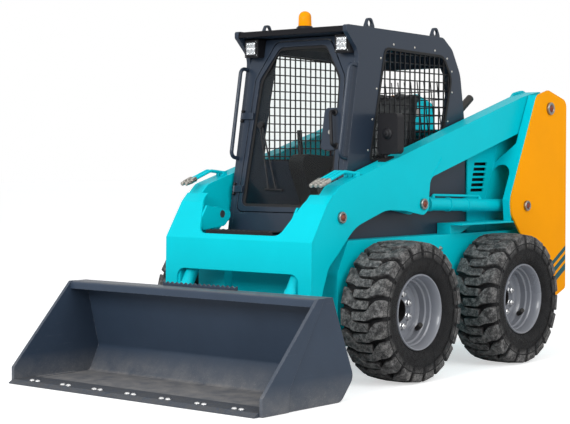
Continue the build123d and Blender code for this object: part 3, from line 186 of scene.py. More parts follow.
FLOAT, COLOUR, VECTOR = "NodeSocketFloat", "NodeSocketColor", "NodeSocketVector"


def new_group(name, inputs, outputs):
    """An empty shader group with named sockets, and its ends to wire to."""
    tree = bpy.data.node_groups.new(name, "ShaderNodeTree")
    for label, kind, value in inputs:
        socket = tree.interface.new_socket(label, in_out="INPUT", socket_type=kind)
        socket.default_value = value
    for label, kind in outputs:
        tree.interface.new_socket(label, in_out="OUTPUT", socket_type=kind)
    net = Net(tree)
    return net, net.add("NodeGroupInput").outputs, net.add("NodeGroupOutput").inputs


def make_plate_edges():
    """Rounded-looking plate edges, and a mask that is bright where paint rubs off them."""
    net, given, out = new_group(
        "plate edges",
        [("Radius", FLOAT, 0.004), ("Break up", FLOAT, 40.0)],
        [("Rubbed", FLOAT), ("Normal", VECTOR)])
    bevel = net.add("ShaderNodeBevel", {"Radius": given["Radius"]}, samples=6)
    flat = net.add("ShaderNodeNewGeometry").outputs["Normal"]
    facing = net.add("ShaderNodeVectorMath", {0: bevel.outputs[0], 1: flat}, operation="DOT_PRODUCT")
    corner = net.span(facing.outputs["Value"], 0.995, 0.86)
    patches = net.span(net.noise(given["Break up"], 6.0), 0.50, 0.62)
    net.put(out["Rubbed"], net.math("MULTIPLY", corner, patches))
    net.put(out["Normal"], bevel.outputs[0])


def make_settled_dust():
    """Mask of dry soil: more of it low down and on faces that look up."""
    net, given, out = new_group(
        "settled dust",
        [("Height", FLOAT, 0.7), ("Amount", FLOAT, 0.5), ("Ledges", FLOAT, 0.4), ("Scale", FLOAT, 5.0)],
        [("Mask", FLOAT)])
    coords = net.add("ShaderNodeTexCoord").outputs
    height = net.add("ShaderNodeSeparateXYZ", {0: coords["Object"]}).outputs["Z"]
    low = net.math("SUBTRACT", 1.0, net.math("DIVIDE", height, given["Height"]), clamp=True)
    upward = net.add("ShaderNodeSeparateXYZ", {0: coords["Normal"]}).outputs["Z"]
    ledge = net.math("MULTIPLY", net.span(upward, 0.5, 1.0), given["Ledges"])
    clouds = net.span(net.noise(given["Scale"], 9.0, 0.65), 0.30, 0.74, 0.30, 1.0)
    specks = net.span(net.noise(160.0, 2.0), 0.58, 0.70, 0.0, 0.6)
    cover = net.math("MULTIPLY", net.math("ADD", low, ledge), net.math("ADD", clouds, specks))
    net.put(out["Mask"], net.math("MULTIPLY", cover, given["Amount"], clamp=True))


def make_uneven_tone():
    """A colour that drifts a little over the surface, with a matching value for gloss."""
    net, given, out = new_group(
        "uneven tone",
        [("Colour", COLOUR, (1, 1, 1, 1)), ("Drift", FLOAT, 0.1), ("Scale", FLOAT, 3.0)],
        [("Colour", COLOUR), ("Value", FLOAT)])
    drift = net.math("SUBTRACT", net.noise(given["Scale"], 5.0), 0.5)
    share = net.math("ADD", 1.0, net.math("MULTIPLY", drift, given["Drift"]))
    tint = net.add("ShaderNodeVectorMath", {0: given["Colour"], "Scale": share}, operation="SCALE")
    net.put(out["Colour"], tint.outputs[0])
    net.put(out["Value"], net.noise(given["Scale"], 8.0))


def make_fine_grain():
    """Height of a fine skin: sprayed paint, moulded plastic, rubber or cast metal."""
    net, given, out = new_group(
        "fine grain",
        [("Scale", FLOAT, 300.0), ("Depth", FLOAT, 0.5)],
        [("Height", FLOAT)])
    grain = net.noise(given["Scale"], 3.0, 0.7)
    net.put(out["Height"], net.math("MULTIPLY", grain, given["Depth"]))


def make_scuffs():
    """Mask of long scrapes that run along the machine."""
    net, given, out = new_group(
        "scuffs",
        [("Scale", FLOAT, 6.0), ("Stretch", VECTOR, (1.0, 14.0, 14.0)), ("Share", FLOAT, 0.3)],
        [("Mask", FLOAT)])
    place = net.add("ShaderNodeVectorMath", {
        0: net.add("ShaderNodeTexCoord").outputs["Object"], 1: given["Stretch"],
    }, operation="MULTIPLY").outputs[0]
    streak = net.noise(given["Scale"], 8.0, 0.7, place)
    edge = net.math("SUBTRACT", 0.72, net.math("MULTIPLY", given["Share"], 0.3))
    mask = net.math("MULTIPLY", net.math("SUBTRACT", streak, edge), 9.0, clamp=True)
    net.put(out["Mask"], mask)


def rgba(value):
    """A colour with nothing seen through it."""
    return (value[0], value[1], value[2], 1.0)


def new_material(name):
    """An empty material with a Principled shader, and its wiring."""
    material = bpy.data.materials.new(name)
    material.use_nodes = True
    net = Net(material.node_tree)
    return material, net, material.node_tree.nodes["Principled BSDF"]


def bump(net, height, distance, normal=None):
    """A normal shaken by a height."""
    inputs = {"Height": height, "Distance": distance, "Strength": 1.0}
    if normal is not None:
        inputs["Normal"] = normal
    return net.add("ShaderNodeBump", inputs).outputs["Normal"]


def sprayed_paint(name, tone, gloss, coat, dust_amount, rubbed_to, rub=0.35, mirror=0.22, black_from=None):
    """Sprayed paint on plate: uneven tone, rubbed edges, settled dust and a light peel.

    Where black_from is given, the paint is black ahead of it.
    """
    hues = bpy.context.scene.loader_colours
    sizes = bpy.context.scene.loader_sizes
    material, net, shader = new_material(name)
    edges = net.group("plate edges", Radius=sizes.edge_round)
    dust = net.group("settled dust", Height=0.75, Amount=dust_amount)["Mask"]
    tones = net.group("uneven tone", Colour=rgba(tone), Drift=0.16, Scale=2.5)
    worn = net.blend(net.math("MULTIPLY", edges["Rubbed"], rub), tones["Colour"], rgba(rubbed_to))
    if black_from is not None:
        place = net.add("ShaderNodeTexCoord").outputs["Object"]
        ahead = net.add("ShaderNodeSeparateXYZ", {0: place}).outputs["X"]
        worn = net.blend(net.span(ahead, black_from, black_from + 0.002), worn, rgba(hues.black))
    grain = net.group("fine grain", Scale=420.0, Depth=1.0)["Height"]
    shine = net.span(tones["Value"], 0.2, 0.8, gloss - 0.05, gloss + 0.07)
    dull = net.math("ADD", shine, net.math("MULTIPLY", dust, 0.45), clamp=True)
    net.fill(
        shader,
        Base_Color=net.blend(dust, worn, rgba(hues.dust)),
        Roughness=dull,
        Normal=bump(net, grain, 0.00012, edges["Normal"]),
        Coat_Weight=coat, Coat_Roughness=0.09, Specular_IOR_Level=mirror)
    return material


def bare_metal(name, tone, rough, drift=0.3, scale=12.0, grain_scale=600.0, grain=0.00015, metallic=1.0):
    """Unpainted metal with a mottled tone and fine tooling."""
    sizes = bpy.context.scene.loader_sizes
    material, net, shader = new_material(name)
    edges = net.group("plate edges", Radius=sizes.edge_round / 2)
    tones = net.group("uneven tone", Colour=rgba(tone), Drift=drift, Scale=scale)
    height = net.group("fine grain", Scale=grain_scale, Depth=1.0)["Height"]
    net.fill(
        shader,
        Base_Color=tones["Colour"],
        Roughness=net.span(tones["Value"], 0.2, 0.8, rough - 0.08, rough + 0.1),
        Normal=bump(net, height, grain, edges["Normal"]),
        Metallic=metallic)
    return material


def moulded(name, tone, rough, grain_scale=500.0, grain=0.0004):
    """Moulded plastic or rubber with a pressed-in grain and a little dust."""
    hues = bpy.context.scene.loader_colours
    material, net, shader = new_material(name)
    tones = net.group("uneven tone", Colour=rgba(tone), Drift=0.2, Scale=9.0)
    dust = net.group("settled dust", Height=1.2, Amount=0.12)["Mask"]
    edges = net.group("plate edges", Radius=0.003)
    height = net.group("fine grain", Scale=grain_scale, Depth=1.0)["Height"]
    net.fill(
        shader,
        Base_Color=net.blend(dust, tones["Colour"], rgba(hues.dust)),
        Roughness=net.span(tones["Value"], 0.2, 0.8, rough - 0.06, rough + 0.08),
        Normal=bump(net, height, grain, edges["Normal"]),
        Specular_IOR_Level=0.3)
    return material


def tyre_rubber():
    """Weathered rubber: scuffed, dusty grey on the lug tops, which is partly a painted highlight of their lit
    faces; plain dark rubber with a little soil in the grooves and on the walls.
    """
    hues = bpy.context.scene.loader_colours
    material, net, shader = new_material("tyre rubber")
    top = net.add("ShaderNodeAttribute", attribute_name="lug_top").outputs["Fac"]
    scrapes = net.span(net.noise(30.0, 12.0, 0.85), 0.46, 0.62)
    blotch = net.span(net.noise(11.0, 8.0, 0.7), 0.42, 0.72)
    # Lug tops blend towards the light grey below: scuffs and dust, and partly a painted highlight on the lit
    # tops
    top_scuff_and_highlight = net.math("MULTIPLY", top, net.math("ADD", net.math("MULTIPLY", scrapes, 0.85), 0.10))
    tones = net.group("uneven tone", Colour=rgba(hues.rubber), Drift=0.6, Scale=22.0)
    grey = net.blend(top_scuff_and_highlight, tones["Colour"], (0.27, 0.265, 0.262, 1.0))
    reach = net.span(top, 0.0, 1.0, 0.05, 0.18)
    soil = net.math("MULTIPLY", net.math("MULTIPLY", blotch, scrapes), reach)
    height = net.math("ADD", net.group("fine grain", Scale=260.0, Depth=0.5)["Height"], scrapes)
    net.fill(
        shader,
        Base_Color=net.blend(soil, grey, rgba(hues.dust)),
        Roughness=net.span(scrapes, 0.0, 1.0, 0.50, 0.85),
        Normal=bump(net, height, 0.0018),
        Specular_IOR_Level=0.18)
    return material


def worn_bucket_paint():
    """Bucket paint scraped along the digging direction, dusty on its floor."""
    hues = bpy.context.scene.loader_colours
    sizes = bpy.context.scene.loader_sizes
    material, net, shader = new_material("bucket paint")
    edges = net.group("plate edges", Radius=sizes.edge_round)
    dust = net.group("settled dust", Height=0.16, Amount=0.62, Ledges=0.8, Scale=9.0)["Mask"]
    scrape = net.group("scuffs", Scale=5.0, Share=0.35)["Mask"]
    tones = net.group("uneven tone", Colour=rgba(hues.bucket), Drift=0.35, Scale=4.0)
    rubbed = net.math("MULTIPLY", edges["Rubbed"], 0.55)
    scraped = net.blend(net.math("MULTIPLY", scrape, 0.35), tones["Colour"], (0.10, 0.115, 0.14, 1.0))
    worn = net.blend(rubbed, scraped, (0.19, 0.20, 0.22, 1.0))
    height = net.math("ADD", net.group("fine grain", Scale=220.0, Depth=0.6)["Height"], scrape)
    net.fill(
        shader,
        Base_Color=net.blend(dust, worn, (0.23, 0.222, 0.215, 1.0)),
        Roughness=net.span(net.math("ADD", dust, scrape), 0.0, 1.2, 0.42, 0.78),
        Normal=bump(net, height, 0.00025, edges["Normal"]),
        Coat_Weight=0.05, Coat_Roughness=0.25, Specular_IOR_Level=0.25)
    return material


def worn_edge_steel():
    """Cutting edge ground bright by digging, with paint left towards the bowl."""
    hues = bpy.context.scene.loader_colours
    material, net, shader = new_material("worn edge steel")
    scrape = net.group("scuffs", Scale=7.0, Share=0.8)["Mask"]
    dust = net.group("settled dust", Height=0.12, Amount=0.5, Ledges=0.6, Scale=17.0)["Mask"]
    steel = net.blend(net.noise(40.0, 7.0), (0.035, 0.037, 0.042, 1.0), (0.11, 0.112, 0.12, 1.0))
    painted = net.blend(scrape, rgba(hues.bucket), steel)
    net.fill(
        shader,
        Base_Color=net.blend(dust, painted, (0.10, 0.097, 0.094, 1.0)),
        Metallic=net.math("MULTIPLY", scrape, 0.4),
        Roughness=net.span(net.noise(70.0, 5.0), 0.2, 0.8, 0.42, 0.66),
        Normal=bump(net, scrape, 0.0003),
        Specular_IOR_Level=0.2)
    return material


def door_glass():
    """Clear safety glass that lets light through to what is behind it."""
    tint = (0.90, 0.95, 0.94, 1.0)
    material, net, shader = new_material("door glass")
    smears = net.group("fine grain", Scale=6.0, Depth=1.0)["Height"]
    net.fill(
        shader, Base_Color=tint, Roughness=0.0, IOR=1.18, Transmission_Weight=1.0,
        Normal=bump(net, smears, 0.00004))
    through = net.add("ShaderNodeBsdfTransparent", {"Color": tint})
    shadow = net.add("ShaderNodeLightPath").outputs["Is Shadow Ray"]
    mixed = net.add("ShaderNodeMixShader", {0: shadow, 1: shader.outputs[0], 2: through.outputs[0]})
    net.tree.links.new(mixed.outputs[0], net.tree.nodes["Material Output"].inputs["Surface"])
    return material


def tinted_lens(name, tone, glow, through):
    """Moulded lens, coloured through, with a little light of its own."""
    material, net, shader = new_material(name)
    ribs = net.group("uneven tone", Colour=rgba(tone), Drift=0.25, Scale=60.0)
    net.fill(
        shader, Base_Color=ribs["Colour"], Roughness=0.12, Transmission_Weight=through, Coat_Weight=0.03,
        Specular_IOR_Level=0.05, Emission_Color=rgba(tone), Emission_Strength=glow)
    return material


def mirror_glass():
    """Silvered glass with a faint haze."""
    material, net, shader = new_material("mirror glass")
    haze = net.span(net.noise(4.0, 3.0), 0.3, 0.7, 0.01, 0.05)
    net.fill(shader, Base_Color=(0.82, 0.84, 0.86, 1.0), Metallic=1.0, Roughness=haze)
    return material


def grained_vinyl():
    """Black seat vinyl with a pebble grain."""
    material, net, shader = new_material("seat vinyl")
    place = net.add("ShaderNodeTexCoord").outputs["Object"]
    pebbles = net.add("ShaderNodeTexVoronoi", {"Vector": place, "Scale": 420.0}, feature="SMOOTH_F1")
    tones = net.group("uneven tone", Colour=(0.017, 0.017, 0.019, 1.0), Drift=0.4, Scale=14.0)
    net.fill(
        shader,
        Base_Color=tones["Colour"],
        Roughness=net.span(tones["Value"], 0.2, 0.8, 0.42, 0.58),
        Normal=bump(net, pebbles.outputs["Distance"], 0.0008),
        Sheen_Weight=0.05)
    return material


def make_finishes():
    """Builds the shared groups and every material, and returns the materials by name."""
    for make in (make_plate_edges, make_settled_dust, make_uneven_tone, make_fine_grain, make_scuffs):
        make()
    hues = bpy.context.scene.loader_colours
    # Sprayed paint: name, colour, roughness, clear coat, dust, colour that its edges rub to
    return {
        "teal": sprayed_paint("teal paint", hues.teal, 0.40, 0.02, 0.03, (0.02, 0.60, 0.68), mirror=0.08),
        "amber": sprayed_paint("orange paint", hues.amber, 0.36, 0.02, 0.02, (0.95, 0.42, 0.02), mirror=0.03),
        "stripe": sprayed_paint("stripe film", hues.stripe, 0.40, 0.05, 0.03, (0.01, 0.15, 0.17)),
        "slate": sprayed_paint(
            "slate paint", hues.slate, 0.34, 0.10, 0.05, (0.12, 0.135, 0.16), rub=0.6, mirror=0.30),
        "roof": sprayed_paint(
            "roof paint", hues.slate, 0.42, 0.06, 0.05, (0.08, 0.095, 0.12), mirror=0.10, black_from=0.385),
        "black_steel": sprayed_paint("black steel", hues.black, 0.45, 0.05, 0.10, (0.07, 0.07, 0.07)),
        "rim": sprayed_paint("rim paint", hues.rim, 0.26, 0.35, 0.22, (0.42, 0.44, 0.48), mirror=0.6),
        "bucket": worn_bucket_paint(),
        "edge": worn_edge_steel(),
        "tyre": tyre_rubber(),
        "rubber": moulded("seal rubber", hues.rubber, 0.62),
        "plastic": moulded("black plastic", hues.black, 0.52),
        "liner": moulded("cab liner", (0.03, 0.03, 0.032), 0.8, grain_scale=150.0, grain=0.001),
        "cap": moulded("pin cap", hues.cap, 0.5),
        "zinc": bare_metal("zinc plate", (0.45, 0.435, 0.40), 0.32),
        "pin": bare_metal("pin steel", (0.30, 0.285, 0.27), 0.30),
        "chrome": bare_metal("rod chrome", (0.78, 0.79, 0.80), 0.10, drift=0.06, grain=0.00002),
        "cast": bare_metal(
            "cast iron", (0.07, 0.07, 0.07), 0.6, grain_scale=160.0, grain=0.001, metallic=0.5),
        "exhaust": bare_metal(
            "exhaust steel", (0.035, 0.032, 0.030), 0.5, drift=0.6, scale=9.0, metallic=0.4),
        "bright": bare_metal("ground steel", (0.80, 0.80, 0.80), 0.28, drift=0.2, scale=30.0),
        "lamp": bare_metal(
            "lamp lens", (0.62, 0.64, 0.66), 0.14, drift=1.2, scale=55.0, grain_scale=90.0, grain=0.002),
        "beacon": tinted_lens("beacon lens", hues.beacon, 0.0, 0.0),
        "tail_lamp": tinted_lens("tail lamp lens", (0.42, 0.006, 0.006), 0.02, 0.1),
        "glass": door_glass(),
        "mirror": mirror_glass(),
        "vinyl": grained_vinyl(),
    }


FINISHES = {}

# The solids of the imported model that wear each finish
FINISH_NODES = {
    "teal": ["chassis", "bay_deck", "hood", "uprights", "side_louvres", "lift_arms", "cross_member",
             "aux_tubes", *(f"{ram}_barrel_{side}" for ram in RAMS for side, _ in SIDES)],
    "chrome": [f"{ram}_rod_{side}" for ram in RAMS for side, _ in SIDES],
    "amber": ["tail_panels"],
    "slate": ["cab_sides", "rear_wall", "front_frame", "front_sill", "door_frame", "rear_door",
              "lifting_eyes", "grab_handles"],
    "roof": ["roof"],
    "black_steel": ["axle_tubes", "hinge_leaves", "window_mesh", "seat_base", "step_tread"],
    "bucket": ["bucket", "bucket_step", "coupler"],
    "edge": ["cutting_edge"],
    "tyre": [f"tyre_{wheel}" for wheel in WHEELS],
    "rim": [f"rim_{wheel}" for wheel in WHEELS],
    "plastic": ["wiper", "beacon_base", "lamp_housings", "controls", "mirrors"],
    "liner": ["cab_floor"],
    "zinc": ["aux_couplers"],
    "pin": ["upright_pins", "arm_pins", "coupler_pins"],
    "cast": ["engine_block"],
    "exhaust": ["exhaust"],
    "lamp": ["lamp_lenses"],
    "beacon": ["beacon_lens"],
    "glass": ["door_glass"],
    "vinyl": ["seat_cushion", "seat_back"],
}
NODE_FINISH = {node: finish for finish, nodes in FINISH_NODES.items() for node in nodes}


# Mesh making

def finish_piece(name, bm, finish, body, replaces=(), smooth=SMOOTH_ANGLE):
    """Turns a bmesh into a piece that wears a finish and rides on a body."""
    bmesh.ops.recalc_face_normals(bm, faces=bm.faces)
    mesh = bpy.data.meshes.new(name)
    bm.to_mesh(mesh)
    bm.free()
    mesh.polygons.foreach_set("use_smooth", [True] * len(mesh.polygons))
    mesh.set_sharp_from_angle(angle=smooth)
    mesh.materials.append(FINISHES[finish])
    piece = bpy.data.objects.new(name, mesh)
    bpy.context.scene.collection.objects.link(piece)
    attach(piece, body)
    if replaces:
        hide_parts(*replaces)


def axis_frame(place, axis):
    """Matrix whose local Z runs along an axis from a place."""
    z = Vector(axis).normalized()
    x = Vector((0, 0, 1)).cross(z)
    if x.length < 1e-6:
        x = Vector((1, 0, 0)).cross(z)
    x.normalize()
    y = z.cross(x)
    return Matrix.Translation(place) @ Matrix((x, y, z)).transposed().to_4x4()


def add_turned(bm, profile, matrix, segments=48, closed=False, flutes=0, depth=0.0):
    """A turned shape, fluted if asked. Profile columns: distance along local Z, radius."""
    turns = [2 * math.pi * i / segments for i in range(segments)]
    rings = []
    for along, radius in profile:
        if radius < 1e-6:
            rings.append([bm.verts.new(matrix @ Vector((0, 0, along)))])
            continue
        sizes = [radius * (1 + depth * math.cos(flutes * turn)) for turn in turns]
        rings.append([bm.verts.new(matrix @ Vector((size * math.cos(turn), size * math.sin(turn), along)))
                      for size, turn in zip(sizes, turns)])
    pairs = list(zip(rings, rings[1:]))
    if closed:
        pairs.append((rings[-1], rings[0]))
    for first, last in pairs:
        for i in range(segments):
            j = (i + 1) % segments
            corners = [first[i % len(first)], first[j % len(first)], last[j % len(last)], last[i % len(last)]]
            bm.faces.new(list(dict.fromkeys(corners)))


def add_knob(bm, profile, matrix, segments):
    """A turned solid whose profile is closed onto the axis at both ends."""
    add_turned(bm, [(profile[0][0], 0), *profile, (profile[-1][0], 0)], matrix, segments)


def add_prism(bm, outline, matrix, depth):
    """A flat outline in local X and Y, thickened along local Z from 0 to depth."""
    low = [bm.verts.new(matrix @ Vector((x, y, 0))) for x, y in outline]
    high = [bm.verts.new(matrix @ Vector((x, y, depth))) for x, y in outline]
    bm.faces.new(low[::-1])
    bm.faces.new(high)
    for i in range(len(low)):
        j = (i + 1) % len(low)
        bm.faces.new((low[i], low[j], high[j], high[i]))


def rounded_box_outline(width, height, radius, steps=4):
    """Outline of a rectangle with rounded corners, about its middle."""
    points = []
    for turn, (sx, sy) in enumerate(((1, 1), (-1, 1), (-1, -1), (1, -1))):
        for i in range(steps + 1):
            angle = math.pi / 2 * (turn + i / steps)
            points.append((
                sx * (width / 2 - radius) + radius * math.cos(angle),
                sy * (height / 2 - radius) + radius * math.sin(angle)))
    return points


def add_bolt(bm, place, axis, size, washer=True):
    """Hexagon bolt head on a washer. Size is its width over the flats."""
    matrix = axis_frame(place, axis)
    foot = 0.13 * size if washer else 0.0
    if washer:
        add_knob(bm, [(-foot, 0.92 * size), (0.7 * foot, 0.92 * size), (foot, 0.85 * size)], matrix, 20)
    corner = size / math.sqrt(3)
    top = foot + 0.62 * size
    add_knob(bm, [(0, corner), (top - 0.08 * size, corner), (top, 0.86 * corner)], matrix, 6)


def smooth_path(points, radius, steps=6):
    """Straight runs between points, with each inner corner rounded to a radius."""
    points = [Vector(p) for p in points]
    path = [points[0]]
    for before, corner, after in zip(points, points[1:], points[2:]):
        back, ahead = (before - corner), (after - corner)
        reach = min(radius, 0.45 * back.length, 0.45 * ahead.length)
        start, end = corner + back.normalized() * reach, corner + ahead.normalized() * reach
        for i in range(steps + 1):
            t = i / steps
            path.append(start.lerp(corner, t).lerp(corner.lerp(end, t), t))
    path.append(points[-1])
    return path


def add_tube(bm, path, radius, sides=12, ripple=0.0):
    """A closed round tube along a path. Ripple varies its radius from ring to ring, as in a weld bead."""
    path = [Vector(p) for p in path]
    side = None
    rings = []
    for i, place in enumerate(path):
        ahead = (path[min(i + 1, len(path) - 1)] - path[max(i - 1, 0)]).normalized()
        if side is None:
            side = ahead.orthogonal().normalized()
        side = (side - ahead * side.dot(ahead)).normalized()
        other = ahead.cross(side)
        size = radius * (1 + ripple * (1 if i % 2 else -1))
        rings.append([bm.verts.new(
            place + size * (math.cos(a) * side + math.sin(a) * other)
        ) for a in (2 * math.pi * k / sides for k in range(sides))])
    for first, last in zip(rings, rings[1:]):
        for k in range(sides):
            j = (k + 1) % sides
            bm.faces.new((first[k], first[j], last[j], last[k]))
    bm.faces.new(rings[0][::-1])
    bm.faces.new(rings[-1])


def add_bead(bm, start, end, radius, ripple):
    """A weld bead along a straight joint."""
    start, end = Vector(start), Vector(end)
    count = max(2, int((end - start).length / 0.007))
    add_tube(bm, [start.lerp(end, i / count) for i in range(count + 1)], radius, 8, ripple)


# Wheels

def wheel_middle(wheel):
    """Middle, radius and half width of one wheel."""
    low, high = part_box(f"tyre_{wheel}")
    return (low + high) / 2, (high.z - low.z) / 2, (high.y - low.y) / 2


def spline(points, steps):
    """Points along a smooth curve through the given ones."""
    out = []
    last = len(points) - 1
    for i in range(last):
        a, b, c, d = (Vector(points[max(0, min(last, i + k))]) for k in (-1, 0, 1, 2))
        for s in range(steps):
            t = s / steps
            out.append(0.5 * (2 * b + (c - a) * t + (2 * a - 5 * b + 4 * c - d) * t * t
                              + (3 * b - a - 3 * c + d) * t ** 3))
    out.append(Vector(points[last]))
    return out


def carcass_outline(radius, half, depth):
    """Half of a tyre's section, from the middle of its tread to its bead. Columns: across, radius."""
    crown = radius - depth
    # Columns: across in half widths, drop below the crown
    return spline([(across * half, crown - drop) for across, drop in (
        (0.0, 0.0), (0.55, 0.002), (0.80, 0.006), (0.91, 0.012), (0.955, 0.024), (0.985, 0.031),
        (0.99, 0.037), (0.965, 0.043), (0.960, 0.052), (0.978, 0.060), (0.965, 0.067), (0.962, 0.090),
        (0.93, 0.122), (0.86, 0.146), (0.80, 0.156), (0.78, 0.163), (0.70, 0.168), (0.66, 0.176),
    )], 3)


# Path of one lug over half the tread, from its nose to the foot of its shoulder.
# Columns: across in half widths, trail behind the nose in lug pitches, drop of its top, width in lug shares
LUG_PATH = [
    (-0.36, 0.00, 0.001, 0.42),
    (-0.31, 0.00, 0.000, 0.48),
    (0.16, 0.00, 0.000, 0.50),
    (0.30, 0.04, 0.000, 0.58),
    (0.50, 0.24, 0.002, 0.82),
    (0.64, 0.35, 0.003, 0.96),
    (0.84, 0.40, 0.006, 1.00),
    (0.915, 0.41, 0.011, 1.00),
    (0.955, 0.41, 0.024, 0.98),
    (0.985, 0.41, 0.056, 0.94),
]
LUG_SHARE = 0.78  # share of the pitch that a lug's top takes
# Section of a lug. Columns: across in lug widths, drop below its top or None at the root, share of the
# lug-top grey (scuffs, partly a painted highlight)
LUG_EDGE = [
    (-0.56, None, 0.0), (-0.50, 0.004, 0.6), (-0.465, 0.0, 1.0),
    (0.465, 0.0, 1.0), (0.50, 0.004, 0.6), (0.56, None, 0.0),
]
LUG_ROOT = 0.014  # a lug's walls reach this far below the foot of its tread


def make_tyre(wheel):
    """A tyre with two staggered rows of hooked lugs, whose noses lead as it rolls forward."""
    sizes = bpy.context.scene.loader_sizes
    body = f"wheel_{wheel}"
    middle, radius, half = wheel_middle(wheel)
    depth, count = sizes.lug_depth, sizes.lug_count
    bm = bmesh.new()
    # lug_top: 1 on a lug's top, 0 at its root; the tyre shader greys by it, partly as a painted highlight
    top = bm.verts.layers.float.new("lug_top")
    outline = carcass_outline(radius, half, depth)
    section = [(-p.x, p.y) for p in reversed(outline)] + [(p.x, p.y) for p in outline[1:]]
    add_turned(bm, section, axis_frame(middle, (0, 1, 0)), 120, closed=True)
    pitch = 2 * math.pi / count
    for row, stagger in ((1, 0.0), (-1, 0.5)):
        for k in range(count):
            nose = pitch * (k + stagger)
            rings = []
            for across, trail, drop, share in LUG_PATH:
                width = pitch * LUG_SHARE * share
                ring = []
                for edge, below, top_grey_share in LUG_EDGE:
                    ring_r = radius - drop - (depth + LUG_ROOT if below is None else below)
                    angle = nose - trail * pitch + edge * width
                    vert = bm.verts.new(middle + Vector((
                        ring_r * math.cos(angle), row * across * half, -ring_r * math.sin(angle))))
                    vert[top] = top_grey_share
                    ring.append(vert)
                rings.append(ring)
            for first, last in zip(rings, rings[1:]):
                for i in range(len(LUG_EDGE) - 1):
                    bm.faces.new((first[i], first[i + 1], last[i + 1], last[i]))
            bm.faces.new(rings[0][::-1])
            bm.faces.new(rings[-1])
    finish_piece(f"lugged_tyre_{wheel}", bm, "tyre", body, (f"tyre_{wheel}",), math.radians(32))


def make_rim(wheel, side):
    """Deep-dished rim with a stepped barrel, wheel nuts round the hub and a rubber valve."""
    sizes = bpy.context.scene.loader_sizes
    body = f"wheel_{wheel}"
    low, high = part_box(f"rim_{wheel}")
    middle, _, _ = wheel_middle(wheel)
    flange = (high.z - low.z) / 2
    face = high.y - middle.y if side > 0 else middle.y - low.y
    disc = -0.033        # the wheel's disc, from the middle of the tyre
    matrix = axis_frame(middle, (0, side, 0))
    bm = bmesh.new()
    add_turned(bm, [
        (face - 0.004, flange), (face, flange - 0.003), (face, flange - 0.009),
        (face - 0.004, flange - 0.012), (face - 0.010, flange - 0.014),
        (face - 0.022, flange - 0.020), (face - 0.060, flange - 0.023),
        (face - 0.066, flange - 0.030), (face - 0.090, flange - 0.033), (face - 0.096, flange - 0.042),
        (face - 0.130, flange - 0.045), (disc + 0.030, flange - 0.048), (disc + 0.012, flange - 0.058),
        (disc + 0.010, flange - 0.085), (disc + 0.001, flange - 0.098), (disc, 0.136), (disc, 0.072),
        (disc - 0.010, 0.070), (disc - 0.010, 0.128), (disc - 0.004, flange - 0.090), (disc, flange - 0.062),
        (-face + 0.020, flange - 0.026), (-face, flange - 0.014), (-face, flange), (-face + 0.008, flange),
        (-face + 0.014, flange - 0.010), (disc + 0.010, flange - 0.040), (face - 0.100, flange - 0.034),
        (face - 0.064, flange - 0.018), (face - 0.014, flange - 0.012), (face - 0.010, flange),
    ], matrix, 96, closed=True)
    finish_piece(f"dished_rim_{wheel}", bm, "rim", body, (f"rim_{wheel}",))

    bm = bmesh.new()
    add_knob(bm, [
        (disc - 0.095, 0.108), (disc - 0.012, 0.108), (disc - 0.012, 0.071), (disc - 0.004, 0.071),
        (disc + 0.008, 0.070), (disc + 0.011, 0.067), (disc + 0.011, 0.062), (disc - 0.060, 0.060),
    ], matrix, 48)
    finish_piece(f"hub_{wheel}", bm, "black_steel", body)

    bm = bmesh.new()
    nuts, circle = 8, 0.1015
    corner = sizes.nut / math.sqrt(3)
    for k in range(nuts):
        angle = 2 * math.pi * (k + 0.5) / nuts
        place = matrix @ Vector((circle * math.cos(angle), circle * math.sin(angle), disc))
        nut = axis_frame(place, (0, side, 0))
        add_knob(bm, [(0, corner + 0.004), (0.004, corner + 0.003), (0.0045, corner), (0.020, corner),
                      (0.0225, 0.85 * corner)], nut, 6)
        add_knob(bm, [(0.010, 0.0088), (0.030, 0.0088), (0.032, 0.0074)], nut, 12)
    finish_piece(f"wheel_nuts_{wheel}", bm, "bright", body, smooth=CRISP_ANGLE)

    bm = bmesh.new()
    angle, reach = math.radians(-38), 0.186
    root = matrix @ Vector((reach * math.cos(angle), reach * math.sin(angle), disc + 0.045))
    inward = (matrix.to_3x3() @ Vector((-math.cos(angle), -math.sin(angle), 0.9))).normalized()
    add_knob(bm, [(-0.006, 0.022), (0.008, 0.022), (0.014, 0.014), (0.040, 0.012), (0.042, 0.015),
                  (0.062, 0.015), (0.065, 0.012)], axis_frame(root, inward), 16)
    finish_piece(f"valve_{wheel}", bm, "rubber", body)


# Fittings

CAB_LOW, CAB_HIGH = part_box("cab_sides")
CAB_SIDE = CAB_HIGH.y
CAB_FOOT = Vector((CAB_HIGH.x, 0.0, CAB_LOW.z))  # foot of the cab's front face
DOOR_HINGE = AXES["cab_door_swing"]
LEAN = math.atan2(DOOR_HINGE.x, -DOOR_HINGE.z)  # the cab's front leans back by this
# Left half of the door's edge. Columns: y, z
DOOR_EDGE = [(0.385, 0.976), (0.348, 1.787), (0.211, 2.013)]
DOOR_LOOP = DOOR_EDGE + [(-y, z) for y, z in reversed(DOOR_EDGE)]
PULL_FEET = [(0.305, 1.572), (0.342, 1.372)]  # feet of the door's pull handle, y and z
LOCK_PLACE = (0.288, 1.455)  # door lock, y and z
# Edge of a side window. Columns: x, z
SIDE_WINDOW = [(0.1805, 1.285), (0.0275, 1.962), (-0.5885, 1.942), (-0.6785, 1.806), (-0.5465, 1.285)]
MIRROR_PLACE = Vector((0.0815, 0.542, 1.4465))  # back face of the left mirror's head
MIRROR_DEPTH = 0.060
ROD_PIN = Vector((-0.1905, 0.0, 1.021))  # pin at the front of the lift cylinders
